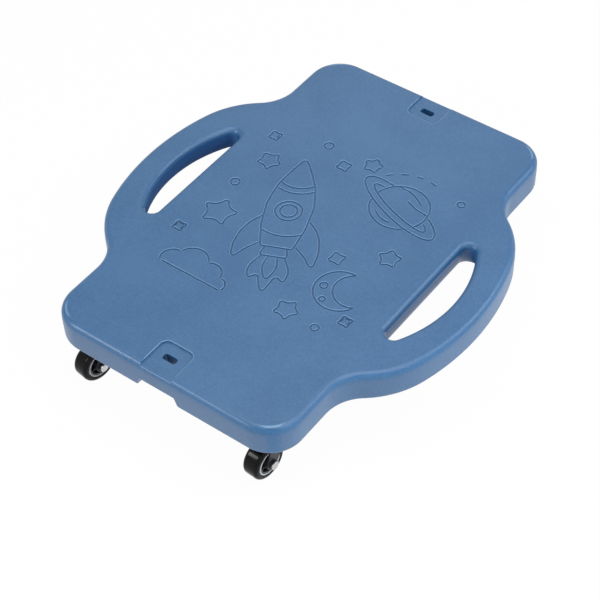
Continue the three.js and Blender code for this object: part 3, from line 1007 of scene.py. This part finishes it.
def rocket_lines():
    side = [(9.5, 58), (18.5, 36), (23, 10), (21.5, -20), (15.5, -48)]
    fin = [(22.5, -8), (32, -19), (38.5, -33), (41, -50), (39, -71), (28.5, -55), (17.4, -44)]
    flame = [(11, -60), (20, -77), (17.5, -92), (8.5, -84)]
    lines = [
        (filleted([(0, 77), *side, *mirrored(side)[::-1]]), True),
        (smooth_line([(-17, 40), (-9, 35.5), (0, 34), (9, 35.5), (17, 40)]), False),
        (smooth_line([(-19, 32.5), (-10, 28), (0, 26.5), (10, 28), (19, 32.5)]), False),
        (smooth_line([(-20.4, -27), (-10, -31), (0, -32.5), (10, -31), (20.4, -27)]), False),
        (circle_line((0, 2), 13), True),
        (circle_line((0, 2), 8.4), True),
        (filleted(fin, False), False),
        (filleted(mirrored(fin), False), False),
        (filleted([(10.5, -48), (13.5, -60), (-13.5, -60), (-10.5, -48)], False), False),
        (filleted([*flame, (0, -110), *mirrored(flame)[::-1]], False), False),
        (filleted([(4.5, -61), (7.5, -75), (0, -93), (-7.5, -75), (-4.5, -61)], False), False),
    ]
    return [(moved(points, (-36, 8), 23, 1.3), closed) for points, closed in lines]


def planet_lines():
    centre, radius, tilt = (72, 94), 38, -20

    def local(x, y):
        return turned_point(x - centre[0], y - centre[1], radians(-tilt))

    def behind(x, y):
        u, v = local(x, y)
        return v > 0 and hypot(u, v) < radius

    def under_ring(x, y):
        u, v = local(x, y)
        return v < 0 and (u / 68) ** 2 + (v / 20) ** 2 < 1 and (u / 52) ** 2 + (v / 10.5) ** 2 > 1

    lines = shown_parts(circle_line(centre, radius), under_ring)
    lines += shown_parts(arc_line(centre, (68, 20), 0, 360, tilt)[:-1], behind)
    lines += shown_parts(arc_line(centre, (52, 10.5), 0, 360, tilt)[:-1], behind)
    lines += [
        (moved(smooth_line([(-30, 22), (-15, 27), (0, 26.5), (13, 24)]), centre, tilt), False),
        (moved(smooth_line([(-4, 15), (12, 14.5), (25, 17.5), (32, 18.5)]), centre, tilt), False),
        (moved(smooth_line([(-15, -27), (0, -30), (14, -26)]), centre, tilt), False),
    ]
    return lines


def moon_lines():
    centre, radius, bite, bitten = (94, -64), 32, (109, -55), 26

    def in_bite(x, y):
        return hypot(x - bite[0], y - bite[1]) < bitten

    def outside(x, y):
        return hypot(x - centre[0], y - centre[1]) > radius

    lines = shown_parts(circle_line(centre, radius), in_bite)
    lines += shown_parts(circle_line(bite, bitten), outside)
    lines += [(circle_line((73, -67), 4.8), True), (circle_line((84, -86), 3.8), True)]
    return lines


def cloud_lines():
    puffs = [((-104, -136), 15), ((-82, -126), 21), ((-53, -131), 17), ((-33, -140), 11)]
    floor = -146

    def covered(own):
        others = [puff for puff in puffs if puff[0] != own]

        def is_covered(x, y):
            inside = -104 < x < -33 and y < -136  # below the puffs' centres
            return inside or y < floor or any(hypot(x - c[0], y - c[1]) < reach for c, reach in others)

        return is_covered

    lines = []
    for centre, radius in puffs:
        lines += shown_parts(circle_line(centre, radius), covered(centre))
    lines.append((smooth_line([(-114, floor), (-90, floor), (-60, floor), (-25, floor)]), False))
    return lines


def sky_lines():
    lines = [
        (star_line((-107, -40), 25, 10), True),
        (star_line((-112, 70), 18, -14), True),
        (star_line((112, 14), 17, 18), True),
        (star_line((60, -124), 18, -10), True),
        (star_line((2, 138), 15, 6), True),
        (circle_line((-66, 136), 6), True),
        (circle_line((-124, 14), 6), True),
        (circle_line((104, -128), 5), True),
        (circle_line((132, 142), 5), True),
    ]
    for x, y, size in ((-28, 116, 12), (-134, 112, 11), (60, -22, 13), (-132, -88, 11), (128, -100, 11)):
        lines.append((star_line((x, y), size, 45, 4, 0.5), True))
    for start in range(74, 150, 19):
        lines.append((arc_line((72, 94), (60, 60), start, start + 11), False))
    return lines


def groove_profile(width, depth):
    """The groove's section: a rounded bottom that flares out at the lips."""
    half = ((0.6, 0.08), (0.5, 0), (0.4, -0.08), (0.31, -0.2), (0.25, -0.6), (0.19, -0.95))
    shares = [(-across, deep) for across, deep in half] + [(0, -1)] + list(reversed(half))
    curve = bpy.data.curves.new("groove_profile", "CURVE")
    curve.dimensions = "2D"
    line = curve.splines.new("POLY")
    line.points.add(len(shares) - 1)
    for point, (across, deep) in zip(line.points, shares):
        point.co = (across * width, deep * depth, 0, 1)
    line.use_cyclic_u = True
    profile = bpy.data.objects.new("groove_profile", curve)
    bpy.context.scene.collection.objects.link(profile)
    return profile


def eased_ends(points, width):
    """Adds points near both ends, with a size for each, so that the groove ends round."""
    ends = ((0, 0.22), (0.12, 0.62), (0.35, 0.9))
    sized = [(Vector(point), 1.0) for point in points]
    for flip in (False, True):
        if flip:
            sized.reverse()
        first = sized[0][0]
        rest = [pair for pair in sized[1:] if (pair[0] - first).length > 0.5 * width]
        along = (rest[0][0] - first).normalized()
        sized = [(first + along * (share * width), size) for share, size in ends] + rest
    return sized


def groove(points, closed, profile, width):
    sized = [(Vector(point), 1.0) for point in points] if closed else eased_ends(points, width / MM)
    curve = bpy.data.curves.new("groove", "CURVE")
    curve.dimensions = "3D"
    curve.twist_mode = "Z_UP"
    curve.bevel_mode = "OBJECT"
    curve.bevel_object = profile
    curve.use_fill_caps = True
    line = curve.splines.new("POLY")
    line.points.add(len(sized) - 1)
    for point, (place, size) in zip(line.points, sized):
        point.co = (place.x * MM, place.y * MM, DECK_HIGH.z, 1)
        point.radius = size
    line.use_cyclic_u = closed
    path = bpy.data.objects.new("groove", curve)
    bpy.context.scene.collection.objects.link(path)
    bm = bmesh.new()
    mesh = shape_of(path)
    bm.from_mesh(mesh)
    bpy.data.meshes.remove(mesh)
    discard(path)
    return to_object(settle(bm), "groove")


def engraving():
    sizes = deck_sizes()
    profile = groove_profile(sizes.groove_width, sizes.groove_depth)
    lines = rocket_lines() + planet_lines() + moon_lines() + cloud_lines() + sky_lines()
    tools = [groove(points, closed, profile, sizes.groove_width) for points, closed in lines]
    discard(profile)
    return tools


class SCOOTER_OT_deck(bpy.types.Operator):
    """Models the deck as one moulding with its hand slots, recesses and engraved lines"""

    bl_idname = "scooter.deck"
    bl_label = "Deck"

    def execute(self, context):
        deck = deck_body()
        cut(deck, *deck_recesses())
        cut(deck, *engraving())
        smooth_shade(deck, sharp=50)
        finish_piece(deck, "board", moulded_plastic(), "deck")
        return {"FINISHED"}


# Casters: each piece is modelled once in its own frame, and copied to the four corners


def fixed_place(name):
    x, y, _ = JOINTS[name + "_swivel"]["pos_m"]
    return Matrix.Translation((x, y, 0))


def swivel_of(name):
    axis = JOINTS[name + "_spin"]["axis"]
    return Matrix.Rotation(atan2(axis[1], axis[0]), 4, "Z")


def turning_place(name):
    return fixed_place(name) @ swivel_of(name)


def axle_place(name):
    """Z runs along the axle, and z = 0 is the wheel's middle."""
    return Matrix.Translation(JOINTS[name + "_spin"]["pos_m"]) @ swivel_of(name) @ ALONG_X


def spread_out(pattern, piece, place, body, material, sharp=40):
    """Copies a piece to the four casters. It stands for the node of the same name."""
    for name in CASTERS:
        twin = copy_of(pattern, place(name))
        twin.name = f"{name}_{piece}_made"
        smooth_shade(twin, sharp)
        finish_piece(twin, body.replace("NAME", name), material, f"{name}_{piece}")
    discard(pattern)


class SCOOTER_OT_mounts(bpy.types.Operator):
    """Models the casters' plates with their screws, kingpins and ball rings"""

    bl_idname = "scooter.mounts"
    bl_label = "Caster mounts"

    def execute(self, context):
        base = caster_sizes().steel
        steel = plated_steel("Plated steel", base, roughness=(0.28, 0.46))
        screw_steel = plated_steel("Screw steel", shade(base, 0.9), roughness=(0.24, 0.4), stretch=(1, 1, 3))
        for piece, pattern in (
            ("plate", self.plate()),
            ("kingpin", self.kingpin()),
            ("ball_ring", self.ball_ring()),
        ):
            spread_out(pattern, piece, fixed_place, "board", steel)
        screw = self.screw()
        for number, (x, y) in enumerate(SCREW_SPOTS, 1):
            pattern = copy_of(screw, Matrix.Translation((x * MM, y * MM, 0)))
            spread_out(pattern, f"screw_{number}", fixed_place, "board", screw_steel)
        discard(screw)
        return {"FINISHED"}

    def plate(self):
        sizes = caster_sizes()
        low = DECK_LOW.z
        plate = thick_slab("plate", sizes.plate, sizes.plate, 6 * MM, 10, low, PLATE_THICKNESS)
        outer = sizes.raceway
        join(plate, ring("raceway", outer - RACEWAY_WALL, outer, low - 2.2 * MM, low + 2 * MM, 64, 0.5 * MM))
        for x, y in SCREW_SPOTS:
            spot = (x * MM, y * MM)
            slot = thick_slab("screw_slot", 8.8 * MM, 5.2 * MM, 2.59 * MM, 8, low - REACH, 2 * REACH, spot)
            cut(plate, slot)
        bore, mouth = 4.3 * MM, 6.3 * MM
        profile = [
            (0, low - REACH),
            (bore, low - REACH),
            (bore, low + COUNTERSINK),
            (mouth, low + PLATE_THICKNESS),
            (mouth, low + REACH),
            (0, low + REACH),
        ]
        cut(plate, turned("bore", profile, 32))
        return with_small_bevels(plate, 0.25 * MM)

    def kingpin(self):
        low = 62.1 * MM
        shank, head = 4 * MM, 7 * MM
        profile = [
            (0, low - 2.6 * MM),
            (5.2 * MM, low - 2.3 * MM),
            (head, low - 1 * MM),
            (head, low),
            (shank, low),
            (shank, DECK_LOW.z + COUNTERSINK),
            (6 * MM, DECK_LOW.z + PLATE_THICKNESS),
            (0, DECK_LOW.z + PLATE_THICKNESS),
        ]
        return turned("kingpin", profile, 48, 0.3 * MM)

    def ball_ring(self):
        """Balls in a thin cage."""
        balls, ball_radius = 10, 2 * MM
        centre, height = 13.0 * MM, 66.7 * MM
        half_wide, half_thick = 2.3 * MM, 0.6 * MM
        low, high = height - half_thick, height + half_thick
        cage = ring("ball_ring", centre - half_wide, centre + half_wide, low, high, 60, 0.2 * MM)
        for i in range(balls):
            bm = bmesh.new()
            spot = Matrix.Rotation(2 * pi * i / balls, 4, "Z") @ Matrix.Translation((centre, 0, height))
            bmesh.ops.create_icosphere(bm, subdivisions=3, radius=ball_radius, matrix=spot)
            join(cage, to_object(bm, "ball"))
        return cage

    def screw(self):
        """A pan head with a cross in it, and a plain pointed shank."""
        top = DECK_LOW.z - GAP
        shank, head = 2.3 * MM, 4.9 * MM
        profile = [
            (0, top - 2.4 * MM),
            (1.6 * MM, top - 2.35 * MM),
            (3.2 * MM, top - 2 * MM),
            (4.4 * MM, top - 1.2 * MM),
            (head, top - 0.3 * MM),
            (head, top),
            (shank, top),
            (shank, top + 13 * MM),
            (0, top + 15 * MM),
        ]
        screw = turned("screw", profile, 32)
        half_long, half_wide = 2.3 * MM, 0.45 * MM
        askew = 0.4  # how the screws stand once they are driven home
        for angle in (askew, askew + pi / 2):
            bm = box((-half_long, -half_wide, top - 3 * MM), (half_long, half_wide, top - 1.1 * MM))
            spin_mesh(bm, angle)
            cut(screw, to_object(bm, "cross"))
        return screw


class SCOOTER_OT_forks(bpy.types.Operator):
    """Models the casters' bent forks"""

    bl_idname = "scooter.forks"
    bl_label = "Forks"

    def execute(self, context):
        fork = self.fork()
        spread_out(fork, "fork", turning_place, "NAME_fork_set", fork_paint(), sharp=35)
        return {"FINISHED"}

    def arch(self, half_width, top, bend):
        """The bent sheet's outside or inside, open below and as long as the caster."""
        bm = box((-half_width, -60 * MM, -20 * MM), (half_width, 60 * MM, top))

        def runs_along_top(edge):
            first, last = edge.verts
            return first.co.z > 0 and last.co.z > 0 and abs(first.co.y - last.co.y) > REACH

        bevel(bm, [edge for edge in bm.edges if runs_along_top(edge)], bend, 10)
        return to_object(settle(bm), "arch")

    def side_view(self, reach):
        """The leg's outline as a prism across the caster: a belt round the axle's eye and two corners."""
        bm = bmesh.new()
        eye = (-TRAIL, AXLE_HEIGHT, 8.2 * MM)
        corners = ((15.5 * MM, 61.4 * MM, 3 * MM), (-14.2 * MM, 61.4 * MM, 3 * MM))
        for y, z, radius in (eye, *corners):
            place = Matrix.Translation((0, y, z)) @ ALONG_X
            bmesh.ops.create_cone(
                bm, segments=64, radius1=radius, radius2=radius, depth=2 * reach, matrix=place
            )
        bmesh.ops.delete(bm, geom=bm.faces[:], context="FACES_ONLY")
        bmesh.ops.delete(bm, geom=bm.edges[:], context="EDGES_FACES")
        hull = bmesh.ops.convex_hull(bm, input=bm.verts[:])
        inner = set(verts_of(hull["geom_interior"] + hull["geom_unused"]))
        bmesh.ops.delete(bm, geom=list(inner), context="VERTS")
        bmesh.ops.dissolve_limit(bm, angle_limit=radians(0.5), verts=bm.verts[:], edges=bm.edges[:])
        return to_object(settle(bm), "side_view")

    def fork(self):
        sizes = caster_sizes()
        inner = sizes.wheel_width / 2 + WHEEL_ROOM
        outer = inner + sizes.sheet
        bend = 2 * MM
        fork = self.arch(outer, FORK_TOP, bend + sizes.sheet)
        cut(fork, self.arch(inner, FORK_TOP - sizes.sheet, bend))
        combine(fork, self.side_view(outer + REACH), "INTERSECT")
        edge, crown_top = sizes.raceway, 66.2 * MM
        profile = [
            (0, FORK_TOP - sizes.sheet),
            (edge, FORK_TOP - sizes.sheet),
            (edge, crown_top),
            (edge - RACEWAY_WALL, crown_top),
            (edge - RACEWAY_WALL, FORK_TOP),
            (0, FORK_TOP),
        ]
        join(fork, turned("crown", profile, 72, 0.35 * MM))
        cut(fork, ring("kingpin_hole", 0, 4.3 * MM, 50 * MM, 70 * MM, 32))
        axle = ring("axle_hole", 0, 3.8 * MM, -30 * MM, 30 * MM, 32)
        cut(fork, placed(axle, Matrix.Translation((0, -TRAIL, AXLE_HEIGHT)) @ ALONG_X))
        return with_small_bevels(fork, 0.35 * MM)


class SCOOTER_OT_axles(bpy.types.Operator):
    """Models the riveted axles with their washers and sleeves"""

    bl_idname = "scooter.axles"
    bl_label = "Axles"

    def execute(self, context):
        sizes = caster_sizes()
        leg = sizes.wheel_width / 2 + WHEEL_ROOM + sizes.sheet
        bright = plated_steel("Rivet steel", (0.62, 0.63, 0.65), roughness=(0.26, 0.4))
        steel = plated_steel("Sleeve steel", sizes.steel, roughness=(0.28, 0.46))
        deep, light = (0.008, 0.008, 0.009), (0.02, 0.02, 0.022)
        black = satin_plastic("Blackened washer", deep, light, roughness=(0.3, 0.45))
        hole = 3.8 * MM
        low = leg + GAP
        washer = ring("washer", hole, 6.1 * MM, low, low + WASHER_THICKNESS, 48, 0.35 * MM)
        end = sizes.wheel_width / 2 + 0.4 * MM
        sleeve = ring("sleeve", hole, 4.9 * MM, -end, end, 48, 0.2 * MM)
        for piece, pattern, slot, material in (
            ("axle_rivet", self.rivet(leg), "rivet_steel", bright),
            ("axle_washer", washer, "black_washer", black),
            ("axle_sleeve", sleeve, "plated_steel", steel),
        ):
            spread_out(pattern, piece, axle_place, "NAME_fork_set", material)
        return {"FINISHED"}

    def rivet(self, leg):
        """A domed head on one side, and a hollow rolled end over the washer on the other."""
        shank, head, rolled = 3.5 * MM, 6 * MM, 5.7 * MM
        low = -leg - GAP
        closed = leg + WASHER_THICKNESS + 2 * GAP
        end = closed + 1.8 * MM
        profile = [
            (0, low - 2.5 * MM),
            (3.6 * MM, low - 2.3 * MM),
            (5.4 * MM, low - 1.5 * MM),
            (head, low - 0.5 * MM),
            (head, low),
            (shank, low),
            (shank, closed),
            (rolled, closed),
            (rolled, end - 0.5 * MM),
            (5.1 * MM, end),
            (3.7 * MM, end),
            (3.2 * MM, end - 0.35 * MM),
            (2.7 * MM, end),
            (0, end),
        ]
        return turned("rivet", profile, 64, 0.12 * MM)


class SCOOTER_OT_wheels(bpy.types.Operator):
    """Models the wheels' tyres, rims and ribbed hubs"""

    bl_idname = "scooter.wheels"
    bl_label = "Wheels"

    def execute(self, context):
        sizes = caster_sizes()
        side = sizes.wheel_width / 2
        face = side - 0.5 * MM
        rim = ring("rim", sizes.rim_inside, sizes.rim_outside, -face, face, 96, 0.3 * MM)
        deep, light = (0.007, 0.008, 0.009), (0.02, 0.021, 0.023)
        black = satin_plastic("Black hub plastic", deep, light, roughness=(0.28, 0.46))
        darker = shade(sizes.rim, 0.8)
        grey = satin_plastic("Grey rim plastic", darker, sizes.rim, roughness=(0.32, 0.48), specular=0.45)
        for piece, pattern, slot, material in (
            ("tyre", self.tyre(side), "tyre_rubber", cast_tyre()),
            ("rim", rim, "rim_plastic", grey),
            ("hub", self.hub(side), "hub_plastic", black),
        ):
            spread_out(pattern, piece, axle_place, "NAME_wheel", material)
        return {"FINISHED"}

    def tyre(self, side):
        """Two rounded shoulders outside, and small roundings where it meets the rim."""
        sizes = caster_sizes()
        inner = sizes.rim_outside + GAP
        tyre = ring("tyre", inner, sizes.wheel_radius, -side, side, 128)
        bm = bmesh.new()
        bm.from_mesh(tyre.data)

        def edges_at(radius):
            def is_there(vert):
                away = hypot(vert.co.x, vert.co.y) - radius
                return abs(away) < 10 * MERGE and abs(abs(vert.co.z) - side) < 10 * MERGE

            found = [edge for edge in bm.edges if all(map(is_there, edge.verts))]
            return [edge for edge in found if edge.calc_face_angle() > 1]

        bevel(bm, edges_at(sizes.wheel_radius), sizes.shoulder, 8)
        bevel(bm, edges_at(inner), 1.1 * MM, 3)
        bm.to_mesh(tyre.data)
        bm.free()
        return tyre

    def hub(self, side):
        """A shell and a boss with a web between them, and thin ribs on both faces."""
        sizes = caster_sizes()
        outer = sizes.rim_inside - GAP
        shell = outer - 1.8 * MM
        web, boss, bore = 3 * MM, 8.4 * MM, 5.2 * MM
        half = [
            (outer, side - 1.2 * MM),
            (shell, side - 1.2 * MM),
            (shell, web),
            (boss, web),
            (boss, side - 0.6 * MM),
            (bore, side - 0.6 * MM),
        ]
        hub = turned("hub", half + [(radius, -height) for radius, height in reversed(half)], 96, 0.35 * MM)
        half_wide, overlap = 0.7 * MM, 0.6 * MM
        for i in range(sizes.ribs):
            for face in (1, -1):
                low, high = sorted((face * 2 * MM, face * (side - 3 * MM)))
                bm = box((boss - overlap, -half_wide, low), (shell + overlap, half_wide, high))
                outer_edges = [edge for edge in bm.edges if all(v.co.z * face > web for v in edge.verts)]
                bevel(bm, outer_edges, 0.3 * MM, 2)
                spin_mesh(bm, 2 * pi * i / sizes.ribs)
                join(hub, to_object(settle(bm), "rib"))
        return hub


# The stage


class SCOOTER_OT_stage(bpy.types.Operator):
    """Sets up the floor, the soft light and the camera"""

    bl_idname = "scooter.stage"
    bl_label = "Stage"

    def execute(self, context):
        self.floor()
        self.sky(context)
        self.lamps()
        self.camera(context)
        context.scene.view_settings.view_transform = "Standard"
        return {"FINISHED"}

    def seen_by_eye(self, tree):
        """Camera, mirror and glass rays, which see the plain white surroundings."""
        path = add(tree, "ShaderNodeLightPath").outputs
        mirror_or_glass = maths(tree, "MAXIMUM", path["Is Glossy Ray"], path["Is Transmission Ray"])
        return maths(tree, "MAXIMUM", path["Is Camera Ray"], mirror_or_glass)

    def floor(self):
        bm = bmesh.new()
        bmesh.ops.create_grid(bm, x_segments=1, y_segments=1, size=6)
        floor = to_object(bm, "floor")
        material = bpy.data.materials.new("White floor")
        material.use_nodes = True
        tree = material.node_tree
        tree.nodes.clear()
        paper = add(tree, "ShaderNodeBsdfDiffuse", Color=(0.86, 0.86, 0.86, 1))
        white = add(tree, "ShaderNodeEmission", Color=(1, 1, 1, 1), Strength=1.0)
        amount = product(tree, self.seen_by_eye(tree), 0.97)
        blend = add(tree, "ShaderNodeMixShader", i0=amount, i1=paper.outputs[0], i2=white.outputs[0])
        add(tree, "ShaderNodeOutputMaterial", Surface=blend.outputs[0])
        floor.data.materials.append(material)

    def sky(self, context):
        world = bpy.data.worlds.new("White surroundings")
        context.scene.world = world
        world.use_nodes = True
        tree = world.node_tree
        tree.nodes.clear()
        strength = mix_numbers(tree, self.seen_by_eye(tree), stage_settings().sky, 1.0)
        light = add(tree, "ShaderNodeBackground", Color=(1, 1, 1, 1), Strength=strength)
        add(tree, "ShaderNodeOutputWorld", Surface=light.outputs[0])

    def lamps(self):
        """Soft panels, each with its place, its target, its size and its power."""
        settings = stage_settings()
        self.lamp("Softbox overhead", (0.25, -0.05, 1.75), (0.25, -0.05, 0.1), (2.0, 1.3), settings.softbox)
        self.lamp("Far glow", (-0.9, 1.65, 1.6), (0, 0.2, 0.1), (1.4, 1.0), settings.glow)
        self.lamp("Back light", (1.1, 0.85, 1.05), (0, 0, 0.1), (1.0, 0.8), settings.back)
        self.lamp("Corner light", (1.3, -0.25, 1.35), (0.15, -0.25, 0.1), (0.35, 0.35), settings.spot)
        self.lamp("Window light", (-1.15, -1.75, 1.3), (0, -0.2, 0.05), (0.5, 0.75), settings.window)
        for name, place, power in (
            ("Right fill", (1.6, -0.25, 0.17), settings.fill),
            ("Front fill", (-0.2, -1.7, 0.17), 0.45 * settings.fill),
        ):
            panel = self.lamp(name, place, (0, 0, 0.09), (1.6, 0.6), power)
            panel.visible_glossy = False

    def lamp(self, name, place, target, size, power):
        data = bpy.data.lights.new(name, "AREA")
        data.shape = "RECTANGLE"
        data.size, data.size_y = size
        data.energy = power
        lamp = bpy.data.objects.new(name, data)
        lamp.location = place
        lamp.rotation_euler = (Vector(target) - Vector(place)).to_track_quat("-Z", "Y").to_euler()
        bpy.context.scene.collection.objects.link(lamp)
        return lamp

    def camera(self, context):
        settings = stage_settings()
        azimuth, elevation, roll = settings.azimuth, settings.elevation, settings.roll
        back = Vector((sin(azimuth) * cos(elevation), -cos(azimuth) * cos(elevation), sin(elevation)))
        right = Vector((cos(azimuth), sin(azimuth), 0))
        up = back.cross(right)
        right, up = right * cos(roll) + up * sin(roll), up * cos(roll) - right * sin(roll)
        data = bpy.data.cameras.new("Camera")
        data.sensor_width = 36
        data.lens = settings.lens
        data.shift_x, data.shift_y = -0.00684, -0.00295
        target = Vector((0.06652, -0.09763, DECK_HIGH.z))
        place = Matrix.Translation(target + back * settings.distance)
        camera = bpy.data.objects.new("Camera", data)
        camera.matrix_world = place @ Matrix((right, up, back)).transposed().to_4x4()
        context.scene.collection.objects.link(camera)
        context.scene.camera = camera


class SCOOTER_PT_panel(bpy.types.Panel):
    """Lists the board's pieces and its stage"""

    bl_idname = "SCOOTER_PT_panel"
    bl_label = "Scooter board"
    bl_space_type = "VIEW_3D"
    bl_region_type = "UI"
    bl_category = "Scooter board"

    def draw(self, context):
        scene = context.scene
        caster_operators = (SCOOTER_OT_mounts, SCOOTER_OT_forks, SCOOTER_OT_axles, SCOOTER_OT_wheels)
        for settings, operators in (
            (scene.scooter_deck, (SCOOTER_OT_deck,)),
            (scene.scooter_casters, caster_operators),
            (scene.scooter_stage, (SCOOTER_OT_stage,)),
        ):
            group = self.layout.box()
            for name in settings.__annotations__:
                group.prop(settings, name)
            for operator in operators:
                group.operator(operator.bl_idname)


CLASSES = (
    DeckSizes,
    CasterSizes,
    StageSettings,
    SCOOTER_OT_deck,
    SCOOTER_OT_mounts,
    SCOOTER_OT_forks,
    SCOOTER_OT_axles,
    SCOOTER_OT_wheels,
    SCOOTER_OT_stage,
    SCOOTER_PT_panel,
)


def register():
    for made in CLASSES:
        bpy.utils.register_class(made)
    bpy.types.Scene.scooter_deck = PointerProperty(type=DeckSizes)
    bpy.types.Scene.scooter_casters = PointerProperty(type=CasterSizes)
    bpy.types.Scene.scooter_stage = PointerProperty(type=StageSettings)


def unregister():
    del bpy.types.Scene.scooter_stage
    del bpy.types.Scene.scooter_casters
    del bpy.types.Scene.scooter_deck
    for made in reversed(CLASSES):
        bpy.utils.unregister_class(made)


def main():
    register()
    bpy.ops.scooter.stage()
    bpy.ops.scooter.deck()
    bpy.ops.scooter.mounts()
    bpy.ops.scooter.forks()
    bpy.ops.scooter.axles()
    bpy.ops.scooter.wheels()


if __name__ == "__main__":
    main()
